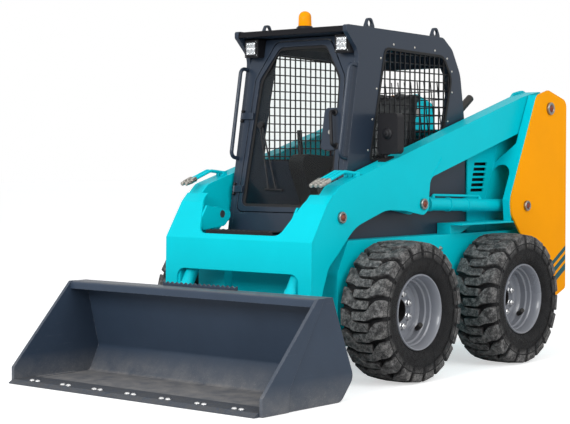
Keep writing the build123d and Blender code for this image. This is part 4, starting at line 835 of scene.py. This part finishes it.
# Pins whose heads show on both sides. Columns: middle, radius of the head, node, body
PIN_HEADS = [
    (PIVOTS["tilt_barrel_left_swing"], 0.034, "arm_pins", "lift_frame"),
    (ROD_PIN, 0.034, "arm_pins", "lift_frame"),
    (PIVOTS["arm_lift"], 0.042, "upright_pins", "machine"),
    (PIVOTS["lift_barrel_left_swing"], 0.034, "upright_pins", "machine"),
]
ARM_SEAM = [(-0.3905, 1.302), (-0.2825, 1.189)]  # ends of the weld across an arm, x and z
RAM_RADIUS = 0.0405  # just outside a lift cylinder's barrel
COUPLER_RUN = Vector((0.941, 0, -0.338)).normalized()
COUPLER_PLACE = Vector((0.7055, 0.512, 1.173))  # middle of the left arm's couplers
COUPLER_PITCH = 0.034
COUPLER_ROWS = [(1, (-1, 0, 1)), (-1, (-0.5, 0.5))]  # side, steps across it
PANEL_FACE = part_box("tail_panels")[1].y
# Lower front edge of a tail panel: a point on its line, and its run forward for each step up
PANEL_EDGE_X, PANEL_EDGE_Z, PANEL_EDGE_RUN = -0.80842, 1.295, 0.832
STRIPE_REAR = -1.768  # where the bands end behind
STRIPE_X = -1.633  # where the bands' heights are measured
# Diagonal bands on the tail panels. Columns: height, width measured upright
STRIPES = [(0.610, 0.032), (0.550, 0.038), (0.484, 0.046)]
STRIPE_SLOPE = -0.58  # rise of a band for each step forward
LATCH_PLACE = (-1.7795, -0.36, 0.95)  # on the rear door's outer face
TAIL_LAMP_Y, TAIL_LAMP_Z = 0.54, 1.36
CASE_BOLTS_X = [-0.41, -0.31, -0.21]
CASE_BOLTS_Z = [0.60, 0.74]
# Dark screen behind a louvre panel, painted shade for the unlit bay behind it. Columns: x, z
SHADE_SCREEN_EDGE = [(-0.866, 1.050), (-0.866, 1.400), (-1.150, 1.400), (-1.115, 1.050)]
SHADE_SCREEN_FACE = 0.406
VANE_X, VANE_Z = -0.890, 1.079  # front end of a screen's lowest vane
VANE_LEAN, VANE_PITCH, VANE_LENGTH = 0.0085, 0.034, 0.166
PAD_SWELL = 0.024  # furthest that a cushion's cover bulges
SEWN_AT = 0.085  # sewn channels, from the middle of the seat
SWELL_FRAMES = 20


def inset(outline, step):
    """A closed outline moved inwards. It runs anticlockwise, and a step below zero moves it outwards."""
    edges = []
    for first, last in zip(outline, outline[1:] + outline[:1]):
        first, last = Vector(first), Vector(last)
        ahead = (last - first).normalized()
        edges.append((first + step * Vector((-ahead.y, ahead.x)), ahead))
    points = []
    for (p, u), (q, v) in zip(edges[-1:] + edges[:-1], edges):
        along = ((q.x - p.x) * v.y - (q.y - p.y) * v.x) / (u.x * v.y - u.y * v.x)
        points.append(tuple(p + along * u))
    return points


def add_border(bm, outline, width, place, low, high):
    """A flat strip just inside an outline. Place turns a point and a height into a position."""
    inner = inset(outline, width)
    loops = [[bm.verts.new(place(point, out)) for point in line]
             for line, out in ((outline, low), (outline, high), (inner, high), (inner, low))]
    for first, last in zip(loops, loops[1:] + loops[:1]):
        for i in range(len(first)):
            j = (i + 1) % len(first)
            bm.faces.new((first[i], first[j], last[j], last[i]))


def rounded_loop(outline, radius, steps=4):
    """A closed outline with its corners rounded."""
    loop = [Vector((*point, 0)) for point in outline]
    turned = smooth_path([loop[-1], *loop, loop[0]], radius, steps)[1:-1]
    return [(p.x, p.y) for p in turned]


def cab_point(point, out=0.0):
    """A place on the cab's leaning front face, given its y and z, or a distance out of that face."""
    y, z = point
    back = (z - CAB_FOOT.z) * math.tan(LEAN)
    return Vector((CAB_FOOT.x - back + out * math.cos(LEAN), y, z + out * math.sin(LEAN)))


CAB_OUT = cab_point((0, 1.5), 1.0) - cab_point((0, 1.5))


def side_point(side):
    """Turns a point in x and z into a place on one side of the cab."""
    return lambda point, out: Vector((point[0], side * (CAB_SIDE + out), point[1]))


def add_dome(bm, place, axis, radius, height, segments):
    """A low rivet or bolt head."""
    add_knob(bm, [(-SUNK, radius), (0.25 * height, radius), (0.75 * height, 0.75 * radius),
                  (height, 0.35 * radius)], axis_frame(place, axis), segments)


def make_door_fittings():
    """Seal round the glass, pull handle and lock of the cab door."""
    bm = bmesh.new()
    add_border(bm, rounded_loop(inset(DOOR_LOOP, 0.027), 0.04), 0.021, cab_point, -0.0185, -0.010)
    finish_piece("door_seal", bm, "rubber", "cab_door")

    bm = bmesh.new()
    high, low = PULL_FEET
    stand = 0.044
    path = [cab_point(high), cab_point(high, stand), cab_point(low, stand), cab_point(low)]
    add_tube(bm, smooth_path(path, 0.034), 0.0105, 14)
    for foot in PULL_FEET:
        add_knob(bm, [(-SUNK, 0.021), (0.004, 0.021), (0.007, 0.017)],
                 axis_frame(cab_point(foot), CAB_OUT), 20)
    finish_piece("door_pull", bm, "plastic", "cab_door")

    bm = bmesh.new()
    add_knob(bm, [(-SUNK, 0.015), (0.006, 0.015), (0.008, 0.013), (0.008, 0.004), (0.005, 0.003)],
             axis_frame(cab_point(LOCK_PLACE), CAB_OUT), 24)
    finish_piece("door_lock", bm, "zinc", "cab_door")


def add_slab(bm, rear, front, right, left, low, thick):
    """A flat slab with its sides along the machine."""
    corners = [(rear, right), (front, right), (front, left), (rear, left)]
    add_prism(bm, corners, Matrix.Translation((0, 0, low)), thick)


def make_cab_lining():
    """Ribbed floor mat and headliner, seen through the door."""
    first_rib = -0.36
    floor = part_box("cab_floor")[1].z
    bm = bmesh.new()
    add_slab(bm, -0.10, 0.36, -0.37, 0.37, floor, 0.004)
    for i in range(17):
        y = first_rib + 0.045 * i
        add_slab(bm, -0.09, 0.35, y - 0.008, y + 0.008, floor + 0.003, 0.008)
    finish_piece("floor_mat", bm, "rubber", "machine")

    ceiling = 2.006
    bm = bmesh.new()
    add_slab(bm, -0.52, 0.18, -0.38, 0.38, ceiling, 0.010)
    for i in range(13):
        y = first_rib + 0.06 * i
        add_slab(bm, -0.50, 0.17, y - 0.012, y + 0.012, ceiling - 0.010, 0.012)
    finish_piece("headliner", bm, "liner", "machine")


def make_window_edges():
    """Rubber edges of the side windows, and the rivets round them."""
    bm = bmesh.new()
    edge = rounded_loop(inset(SIDE_WINDOW, -0.008), 0.045)
    for _, side in SIDES:
        add_border(bm, edge, 0.016, side_point(side), -0.003, 0.004)
    finish_piece("window_edges", bm, "rubber", "machine")

    bm = bmesh.new()
    loop = [Vector(point) for point in inset(SIDE_WINDOW, -0.030)]
    for first, last in zip(loop, loop[1:] + loop[:1]):
        count = max(2, round((last - first).length / 0.19))
        for i in range(count):
            point = first.lerp(last, (i + 0.5) / count)
            for _, side in SIDES:
                add_dome(bm, side_point(side)(point, 0.0), (0, side, 0), 0.0075, 0.004, 10)
    finish_piece("window_rivets", bm, "zinc", "machine")


def make_beacon():
    """Fluted beacon lens on a collar."""
    low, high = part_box("beacon_lens")
    middle = (low + high) / 2
    radius, tall = (high.x - low.x) / 2, high.z - low.z
    waist = 0.90 * radius
    matrix = axis_frame((middle.x, middle.y, low.z), (0, 0, 1))
    bm = bmesh.new()
    profile = [(0, 0), (0, radius), (0.006, radius), (0.009, 0.94 * radius), (0.62 * tall, waist)]
    profile += [(tall * (0.62 + 0.37 * math.sin(a)), waist * math.cos(a))
                for a in (math.radians(15 * k) for k in range(1, 6))]
    add_turned(bm, profile + [(0.99 * tall, 0)], matrix, 120, flutes=30, depth=0.022)
    finish_piece("fluted_beacon", bm, "beacon", "machine", ("beacon_lens",), math.radians(50))

    bm = bmesh.new()
    add_turned(bm, [
        (-0.010, waist), (-0.010, 1.10 * radius), (-0.002, 1.13 * radius), (0.004, 1.10 * radius),
        (0.008, 1.02 * radius), (0.004, waist),
    ], matrix, 48, closed=True)
    finish_piece("beacon_collar", bm, "plastic", "machine")


def make_lamp_fronts():
    """Bezels and reflector cups of the work lamps."""
    low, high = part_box("lamp_lenses")
    size = high.z - low.z
    half = size / 2
    pitch = 0.029
    edge = rounded_loop([(-half, -half), (half, -half), (half, half), (-half, half)], 0.012)
    bezel, cups = bmesh.new(), bmesh.new()
    for _, side in SIDES:
        middle = Vector((high.x, side * (high.y - half), (low.z + high.z) / 2))
        matrix = axis_frame(middle, (1, 0, 0))
        add_border(bezel, edge, 0.009, lambda point, out: matrix @ Vector((*point, out)), -0.006, 0.003)
        for row in (-1, 0, 1):
            for column in (-1, 0, 1):
                cup = matrix @ Matrix.Translation((pitch * column, pitch * row, 0))
                add_turned(cups, [(-SUNK, 0), (-SUNK, 0.0130), (0.0022, 0.0130), (0.0022, 0.0118),
                                  (0.0006, 0.007), (0.0022, 0.0045), (0.003, 0)], cup, 20)
    finish_piece("lamp_bezels", bezel, "plastic", "machine")
    finish_piece("lamp_cups", cups, "lamp", "machine")


def make_mirror_fronts():
    """Mirror glass facing the driver, and the clamp behind each head."""
    glass, clamps = bmesh.new(), bmesh.new()
    for _, side in SIDES:
        place = Vector((MIRROR_PLACE.x, side * MIRROR_PLACE.y, MIRROR_PLACE.z))
        add_prism(glass, rounded_box_outline(0.128, 0.216, 0.022), axis_frame(place, (-1, 0, 0)), 0.0022)
        front = axis_frame(place + Vector((MIRROR_DEPTH, 0, 0)), (1, 0, 0))
        add_knob(clamps, [(-SUNK, 0.036), (0.006, 0.034), (0.012, 0.024), (0.020, 0.022), (0.022, 0.018)],
                 front, 32)
        add_bolt(clamps, front @ Vector((0, 0, 0.022)), (1, 0, 0), 0.013, washer=False)
    finish_piece("mirror_glass", glass, "mirror", "lift_frame")
    finish_piece("mirror_clamps", clamps, "plastic", "lift_frame")


def grown_mesh(piece):
    """The piece's mesh as its modifiers leave it."""
    graph = bpy.context.evaluated_depsgraph_get()
    return bpy.data.meshes.new_from_object(piece.evaluated_get(graph), depsgraph=graph)


def swell(piece, low, high):
    """Blows the cover up by cloth pressure, held along two sewn channels and inside the cushion's box."""
    start = [vert.co.copy() for vert in piece.data.vertices]
    scene = bpy.context.scene
    cloth = piece.modifiers.new("cover", "CLOTH")
    cloth.settings.use_pressure = True
    cloth.settings.uniform_pressure_force = 4.0
    cloth.settings.effector_weights.gravity = 0.0
    cloth.point_cache.frame_start, cloth.point_cache.frame_end = 1, SWELL_FRAMES
    for number in range(1, SWELL_FRAMES + 1):
        scene.frame_set(number)
    full = grown_mesh(piece)
    piece.modifiers.clear()
    for vert, after, before in zip(piece.data.vertices, full.vertices, start):
        move = after.co - before
        move *= min(1.0, PAD_SWELL / max(move.length, 1e-6))
        move *= min(1.0, abs(abs(before.y) - SEWN_AT) / 0.016)
        place = before + move
        vert.co = [min(max(place[i], low[i] - 0.001), high[i] + 0.001) for i in range(3)]
    bpy.data.meshes.remove(full)
    scene.frame_set(1)


def make_cushion(node, name):
    """A crowned cushion in place of a plain seat solid."""
    low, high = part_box(node)
    middle = (low + high) / 2
    mesh = NODES[node].data.copy()
    mesh.transform(NODES[node].matrix_world)
    shrink = Matrix.Diagonal((0.94, 0.94, 0.94, 1.0))
    mesh.transform(Matrix.Translation(middle) @ shrink @ Matrix.Translation(-middle))
    mesh.materials.clear()
    mesh.materials.append(FINISHES["vinyl"])
    piece = bpy.data.objects.new(name, mesh)
    bpy.context.scene.collection.objects.link(piece)
    remesh = piece.modifiers.new("even", "REMESH")
    remesh.mode, remesh.voxel_size = "VOXEL", 0.008
    piece.data = grown_mesh(piece)
    piece.modifiers.clear()
    swell(piece, low, high)
    piece.modifiers.new("soft", "SUBSURF").levels = 1
    piece.data = grown_mesh(piece)
    piece.modifiers.clear()
    piece.data.polygons.foreach_set("use_smooth", [True] * len(piece.data.polygons))
    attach(piece, "machine")
    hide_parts(node)


def make_pin_caps():
    """Rings and coloured caps on the heads of the big pins."""
    for body in ("lift_frame", "machine"):
        rings, caps = bmesh.new(), bmesh.new()
        for middle, r, node, owner in PIN_HEADS:
            if owner != body:
                continue
            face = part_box(node)[1].y
            for _, side in SIDES:
                matrix = axis_frame((middle.x, side * face, middle.z), (0, side, 0))
                add_turned(rings, [(-SUNK, 0.55 * r), (-SUNK, 0.99 * r), (0.003, 0.99 * r), (0.006, 0.90 * r),
                                   (0.006, 0.66 * r), (0.002, 0.58 * r)], matrix, 40, closed=True)
                add_turned(caps, [(-SUNK, 0), (-SUNK, 0.52 * r), (0.004, 0.52 * r), (0.008, 0.40 * r),
                                  (0.009, 0.22 * r), (0.014, 0.18 * r), (0.015, 0)], matrix, 28)
        finish_piece(f"pin_rings_{body}", rings, "pin", body)
        finish_piece(f"pin_caps_{body}", caps, "cap", body)


def make_arm_welds():
    """Weld seam across the outside of each arm."""
    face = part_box("lift_arms")[1].y + 0.0002
    bm = bmesh.new()
    for _, side in SIDES:
        ends = [(x, side * face, z) for x, z in ARM_SEAM]
        add_bead(bm, *ends, 0.0035, 0.14)
    finish_piece("arm_seams", bm, "teal", "lift_frame")


def make_ram_lines():
    """Painted oil line along the top of each lift cylinder, with its unions and clamps."""
    sizes = bpy.context.scene.loader_sizes
    ends, clamps = (0.36, 0.885), (0.52, 0.72)
    root, top = 0.036, 0.057
    inner, outer = RAM_RADIUS, RAM_RADIUS + 0.004
    band = [(-0.011, inner), (-0.011, outer), (0.011, outer), (0.011, inner)]
    for name, _ in SIDES:
        body = f"lift_barrel_{name}"
        base = PIVOTS[f"{body}_swing"]
        along = AXES[f"lift_rod_{name}_slide"]
        up = Vector((-along.z, 0, along.x))
        line, unions = bmesh.new(), bmesh.new()
        rear, front = (base + along * step for step in ends)
        path = [rear + up * root, rear + up * top, front + up * top, front + up * root]
        add_tube(line, smooth_path(path, 0.02), sizes.line / 2, 12)
        for foot in (rear, front):
            add_knob(unions, [(0.030, 0.015), (0.050, 0.015), (0.052, 0.012)], axis_frame(foot, up), 6)
        for step in clamps:
            add_turned(unions, band, axis_frame(base + along * step, along), 40, closed=True)
        finish_piece(f"oil_line_{name}", line, "teal", body)
        finish_piece(f"line_unions_{name}", unions, "teal", body, smooth=CRISP_ANGLE)


def make_coupler_sleeves():
    """Hexagon, knurled sleeve and flat face of each attachment coupler."""
    bm = bmesh.new()
    for side, steps in COUPLER_ROWS:
        for step in steps:
            y = side * COUPLER_PLACE.y + COUPLER_PITCH * step
            matrix = axis_frame((COUPLER_PLACE.x, y, COUPLER_PLACE.z), COUPLER_RUN)
            add_knob(bm, [(-0.003, 0.0165), (0.012, 0.0165), (0.013, 0.0155)], matrix, 6)
            add_turned(bm, [(0.046, 0.0120), (0.046, 0.0145), (0.064, 0.0145), (0.064, 0.0120)], matrix, 72,
                       closed=True, flutes=18, depth=0.05)
            add_knob(bm, [(0.0835, 0.0105), (0.0860, 0.0105), (0.0868, 0.0095)], matrix, 24)
    finish_piece("coupler_sleeves", bm, "zinc", "lift_frame", smooth=CRISP_ANGLE)


def make_tread_studs():
    """Raised studs on the step between the arms."""
    low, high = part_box("step_tread")
    bm = bmesh.new()
    for i in range(3):
        for j in range(13):
            place = (low.x + 0.022 + 0.0325 * i, -0.24 + 0.04 * j, high.z)
            add_knob(bm, [(-SUNK, 0.010), (0.003, 0.0085), (0.004, 0.006), (0.002, 0.004)],
                     axis_frame(place, (0, 0, 1)), 12)
    finish_piece("tread_studs", bm, "black_steel", "lift_frame")


def make_bucket_fittings():
    """Bolt pairs along the cutting edge, and weld beads behind it and along the side plates."""
    low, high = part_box("cutting_edge")
    pairs, pitch, spread = 7, 0.26, 0.024
    bm = bmesh.new()
    for i in range(pairs):
        middle = pitch * (i - (pairs - 1) / 2)
        for y in (middle - spread, middle + spread):
            add_dome(bm, (high.x - 0.062, y, high.z), (0, 0, 1), 0.018, 0.010, 20)
    finish_piece("edge_bolts", bm, "bright", "bucket_carrier")

    bm = bmesh.new()
    radius, ripple = 0.006, 0.15
    x, z = low.x - 0.001, high.z - 0.008
    add_bead(bm, (x, low.y + 0.01, z), (x, high.y - 0.01, z), radius, ripple)
    for _, side in SIDES:
        y = side * (high.y - 0.001)
        add_bead(bm, (low.x - 0.32, y, z), (low.x - 0.01, y, z), radius, ripple)
    finish_piece("bucket_welds", bm, "bucket", "bucket_carrier")


def stripe_outline(height, width):
    """One diagonal band, from the panel's front edge to its rear edge. Columns: x, z"""
    corners = []
    for level in (height - width / 2, height + width / 2):
        at_edge = level - STRIPE_SLOPE * STRIPE_X - PANEL_EDGE_Z
        front = (PANEL_EDGE_X + PANEL_EDGE_RUN * at_edge) / (1 - PANEL_EDGE_RUN * STRIPE_SLOPE) - 0.004
        for x in (front, STRIPE_REAR):
            corners.append((x, level + STRIPE_SLOPE * (x - STRIPE_X)))
    return [corners[0], corners[1], corners[3], corners[2]]


def make_stripes():
    """Three dark bands low on each tail panel."""
    bm = bmesh.new()
    for _, side in SIDES:
        matrix = axis_frame((0, side * (PANEL_FACE - 0.0005), 0), (0, side, 0))
        for height, width in STRIPES:
            outline = [(-side * x, z) for x, z in stripe_outline(height, width)]
            add_prism(bm, outline, matrix, 0.0013)
    finish_piece("panel_stripes", bm, "stripe", "machine")


def make_tail_fittings():
    """Rear lamps on the uprights, and the paddle latch of the rear door."""
    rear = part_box("uprights")[0].x
    bezels, lenses = bmesh.new(), bmesh.new()
    for _, side in SIDES:
        matrix = axis_frame((rear, side * TAIL_LAMP_Y, TAIL_LAMP_Z), (-1, 0, 0))
        add_prism(bezels, rounded_box_outline(0.086, 0.150, 0.016), matrix, 0.010)
        add_prism(lenses, rounded_box_outline(0.070, 0.134, 0.012), matrix, 0.016)
        for k in range(7):
            rib = matrix @ Matrix.Translation((0, -0.054 + 0.018 * k, 0.0155))
            add_prism(lenses, rounded_box_outline(0.060, 0.009, 0.003), rib, 0.0025)
    finish_piece("tail_lamp_bezels", bezels, "plastic", "machine")
    finish_piece("tail_lamp_lenses", lenses, "tail_lamp", "machine")

    bm = bmesh.new()
    matrix = axis_frame(LATCH_PLACE, (-1, 0, 0))
    add_prism(bm, rounded_box_outline(0.070, 0.140, 0.014), matrix, 0.006)
    add_prism(bm, rounded_box_outline(0.046, 0.100, 0.010), matrix, 0.013)
    lock = matrix @ Matrix.Translation((0, -0.058, 0))
    add_knob(bm, [(0.004, 0.011), (0.016, 0.011), (0.017, 0.009)], lock, 20)
    finish_piece("rear_latch", bm, "plastic", "rear_door")


def make_louvre_shade_screens():
    """Dark screen with vanes behind each louvre panel: painted shade that stands in for the unlit bay behind
    it.
    """
    bm = bmesh.new()
    for _, side in SIDES:
        back = axis_frame((0, side * SHADE_SCREEN_FACE, 0), (0, side, 0))
        add_prism(bm, [(-side * x, z) for x, z in SHADE_SCREEN_EDGE], back, 0.004)
        for i in range(6):
            x, z = VANE_X - VANE_LEAN * i, VANE_Z + VANE_PITCH * i
            vane = [(x, z), (x, z + 0.004), (x - VANE_LENGTH, z + 0.004), (x - VANE_LENGTH, z)]
            add_prism(bm, [(-side * u, w) for u, w in vane], back, 0.025)
    finish_piece("louvre_shade_screens", bm, "plastic", "machine")


def make_case_bolts():
    """Cover bolts on the drive cases between the wheels."""
    sizes = bpy.context.scene.loader_sizes
    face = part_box("chassis")[1].y
    for name, side in SIDES:
        bm = bmesh.new()
        for x in CASE_BOLTS_X:
            for z in CASE_BOLTS_Z:
                add_bolt(bm, (x, side * face, z), (0, side, 0), sizes.bolt)
        finish_piece(f"case_bolts_{name}", bm, "zinc", "machine", smooth=CRISP_ANGLE)


# Stage

def aim(obj, target):
    """Turns a lamp towards a target."""
    obj.rotation_euler = (Vector(target) - obj.location).to_track_quat("-Z", "Y").to_euler()


def add_lamp(name, place, target, size, power):
    """A soft rectangular lamp that looks at a target."""
    light = bpy.data.lights.new(name, "AREA")
    light.shape = "RECTANGLE"
    light.size, light.size_y = size
    light.energy = power
    lamp = bpy.data.objects.new(name, light)
    lamp.location = place
    bpy.context.scene.collection.objects.link(lamp)
    aim(lamp, target)


def seen_directly(net):
    """1 for rays from the camera, a mirror or through glass, which see the white studio."""
    path = net.add("ShaderNodeLightPath").outputs
    mirrors = net.math("MAXIMUM", path["Is Glossy Ray"], path["Is Transmission Ray"])
    return net.math("MAXIMUM", path["Is Camera Ray"], mirrors)


def make_floor():
    """Pale floor that fades to the white studio and keeps the machine's shadow."""
    mesh = bpy.data.meshes.new("studio_floor")
    reach = 60.0
    corners = [(-reach, -reach, 0), (reach, -reach, 0), (reach, reach, 0), (-reach, reach, 0)]
    mesh.from_pydata(corners, [], [(0, 1, 2, 3)])
    floor = bpy.data.objects.new("studio_floor", mesh)
    bpy.context.scene.collection.objects.link(floor)
    material, net, shader = new_material("studio floor")
    net.fill(shader, Base_Color=(0.80, 0.80, 0.80, 1.0), Roughness=0.9, Specular_IOR_Level=0.1)
    straight = net.add("ShaderNodeLightPath").outputs["Is Camera Ray"]
    glow = net.add("ShaderNodeEmission", {
        "Color": (1, 1, 1, 1), "Strength": net.math("MULTIPLY", straight, 0.55),
    })
    both = net.add("ShaderNodeAddShader", {0: shader.outputs[0], 1: glow.outputs[0]})
    net.tree.links.new(both.outputs[0], net.tree.nodes["Material Output"].inputs["Surface"])
    mesh.materials.append(material)


def make_world(sky):
    """Even light from all round, seen as plain white."""
    world = bpy.data.worlds.new("studio")
    world.use_nodes = True
    bpy.context.scene.world = world
    net = Net(world.node_tree)
    world.node_tree.nodes.clear()
    lit = net.add("ShaderNodeBackground", {"Color": (0.97, 0.985, 1.0, 1.0), "Strength": sky})
    white = net.add("ShaderNodeBackground", {"Color": (1, 1, 1, 1), "Strength": 1.0})
    mixed = net.add("ShaderNodeMixShader", {0: seen_directly(net), 1: lit.outputs[0], 2: white.outputs[0]})
    out = net.add("ShaderNodeOutputWorld")
    net.tree.links.new(mixed.outputs[0], out.inputs["Surface"])


# Operators

class LOADER_OT_paint(bpy.types.Operator):
    """Give every solid its paint or bare finish"""

    bl_idname = "loader.paint"
    bl_label = "Paint the solids"

    def execute(self, context):
        FINISHES.update(make_finishes())
        unknown = sorted(set(NODES) ^ set(NODE_FINISH))
        if unknown:
            raise RuntimeError(f"solids without a finish, or finishes without a solid: {unknown}")
        for name, finish in NODE_FINISH.items():
            NODES[name].data.materials.clear()
            NODES[name].data.materials.append(FINISHES[finish])
        return {"FINISHED"}


class LOADER_OT_tyres(bpy.types.Operator):
    """Make the lugged tyres"""

    bl_idname = "loader.tyres"
    bl_label = "Tyres"

    def execute(self, context):
        for wheel in WHEELS:
            make_tyre(wheel)
        return {"FINISHED"}


class LOADER_OT_rims(bpy.types.Operator):
    """Make the dished rims with their nuts, hubs and valves"""

    bl_idname = "loader.rims"
    bl_label = "Rims"

    def execute(self, context):
        for wheel in WHEELS:
            make_rim(wheel, 1 if wheel.endswith("left") else -1)
        return {"FINISHED"}


class LOADER_OT_cab(bpy.types.Operator):
    """Fit the cab's door, windows, lining, lamps and beacon"""

    bl_idname = "loader.cab"
    bl_label = "Cab fittings"

    def execute(self, context):
        for make in (make_door_fittings, make_cab_lining, make_window_edges, make_beacon, make_lamp_fronts):
            make()
        return {"FINISHED"}


class LOADER_OT_seat(bpy.types.Operator):
    """Pad the seat"""

    bl_idname = "loader.seat"
    bl_label = "Seat cushions"

    def execute(self, context):
        make_cushion("seat_cushion", "padded_cushion")
        make_cushion("seat_back", "padded_back")
        return {"FINISHED"}


class LOADER_OT_arms(bpy.types.Operator):
    """Fit the pins, welds, oil lines, couplers, step and mirrors of the lift arms"""

    bl_idname = "loader.arms"
    bl_label = "Arm fittings"

    def execute(self, context):
        for make in (make_pin_caps, make_arm_welds, make_ram_lines, make_coupler_sleeves, make_tread_studs,
                     make_mirror_fronts):
            make()
        return {"FINISHED"}


class LOADER_OT_bucket(bpy.types.Operator):
    """Bolt and weld the bucket's edge"""

    bl_idname = "loader.bucket"
    bl_label = "Bucket fittings"

    def execute(self, context):
        make_bucket_fittings()
        return {"FINISHED"}


class LOADER_OT_tail(bpy.types.Operator):
    """Fit the stripes, rear lamps, latch, louvre screens of painted shade and cover bolts"""

    bl_idname = "loader.tail"
    bl_label = "Tail fittings"

    def execute(self, context):
        for make in (make_stripes, make_tail_fittings, make_louvre_shade_screens, make_case_bolts):
            make()
        return {"FINISHED"}


class LOADER_OT_stage(bpy.types.Operator):
    """Set up the floor, the soft lamps and the camera"""

    bl_idname = "loader.stage"
    bl_label = "Stage"

    def execute(self, context):
        view = context.scene.loader_view
        make_floor()
        make_world(view.sky)
        middle = (0.0, 0.0, 0.9)
        add_lamp("key lamp", (2.5, 9.0, 6.5), middle, (7.0, 5.0), view.key)
        add_lamp("front lamp", (9.5, 1.0, 5.0), middle, (6.0, 4.0), view.fill)
        camera = bpy.data.objects.new("camera", bpy.data.cameras.new("camera"))
        context.scene.collection.objects.link(camera)
        camera.location = view.place
        camera.rotation_euler = (math.pi / 2 + view.pitch, 0, view.yaw - math.pi / 2)
        camera.data.sensor_fit = "HORIZONTAL"
        camera.data.sensor_width = 36
        camera.data.lens = view.lens
        camera.data.shift_x, camera.data.shift_y = view.shift
        context.scene.camera = camera
        context.scene.view_settings.view_transform = "Standard"
        return {"FINISHED"}


class LOADER_PT_panel(bpy.types.Panel):
    """Lists the steps that dress the loader"""

    bl_label = "Loader"
    bl_idname = "LOADER_PT_panel"
    bl_space_type = "VIEW_3D"
    bl_region_type = "UI"
    bl_category = "Loader"

    def draw(self, context):
        for step in STEPS:
            self.layout.operator(step.bl_idname)
        for group in ("loader_colours", "loader_sizes", "loader_view"):
            settings = getattr(context.scene, group)
            box = self.layout.box()
            for name in settings.__annotations__:
                box.prop(settings, name)


STEPS = (
    LOADER_OT_paint, LOADER_OT_tyres, LOADER_OT_rims, LOADER_OT_cab, LOADER_OT_seat, LOADER_OT_arms,
    LOADER_OT_bucket, LOADER_OT_tail, LOADER_OT_stage)
SETTINGS = {"loader_colours": LoaderColours, "loader_sizes": LoaderSizes, "loader_view": LoaderView}


def register():
    for group in SETTINGS.values():
        bpy.utils.register_class(group)
    for name, group in SETTINGS.items():
        setattr(bpy.types.Scene, name, PointerProperty(type=group))
    for step in (*STEPS, LOADER_PT_panel):
        bpy.utils.register_class(step)


def unregister():
    for step in (LOADER_PT_panel, *reversed(STEPS)):
        bpy.utils.unregister_class(step)
    for name, group in SETTINGS.items():
        delattr(bpy.types.Scene, name)
        bpy.utils.unregister_class(group)


def main():
    register()
    for step in STEPS:
        area, name = step.bl_idname.split(".")
        getattr(getattr(bpy.ops, area), name)()


if __name__ == "__main__":
    main()
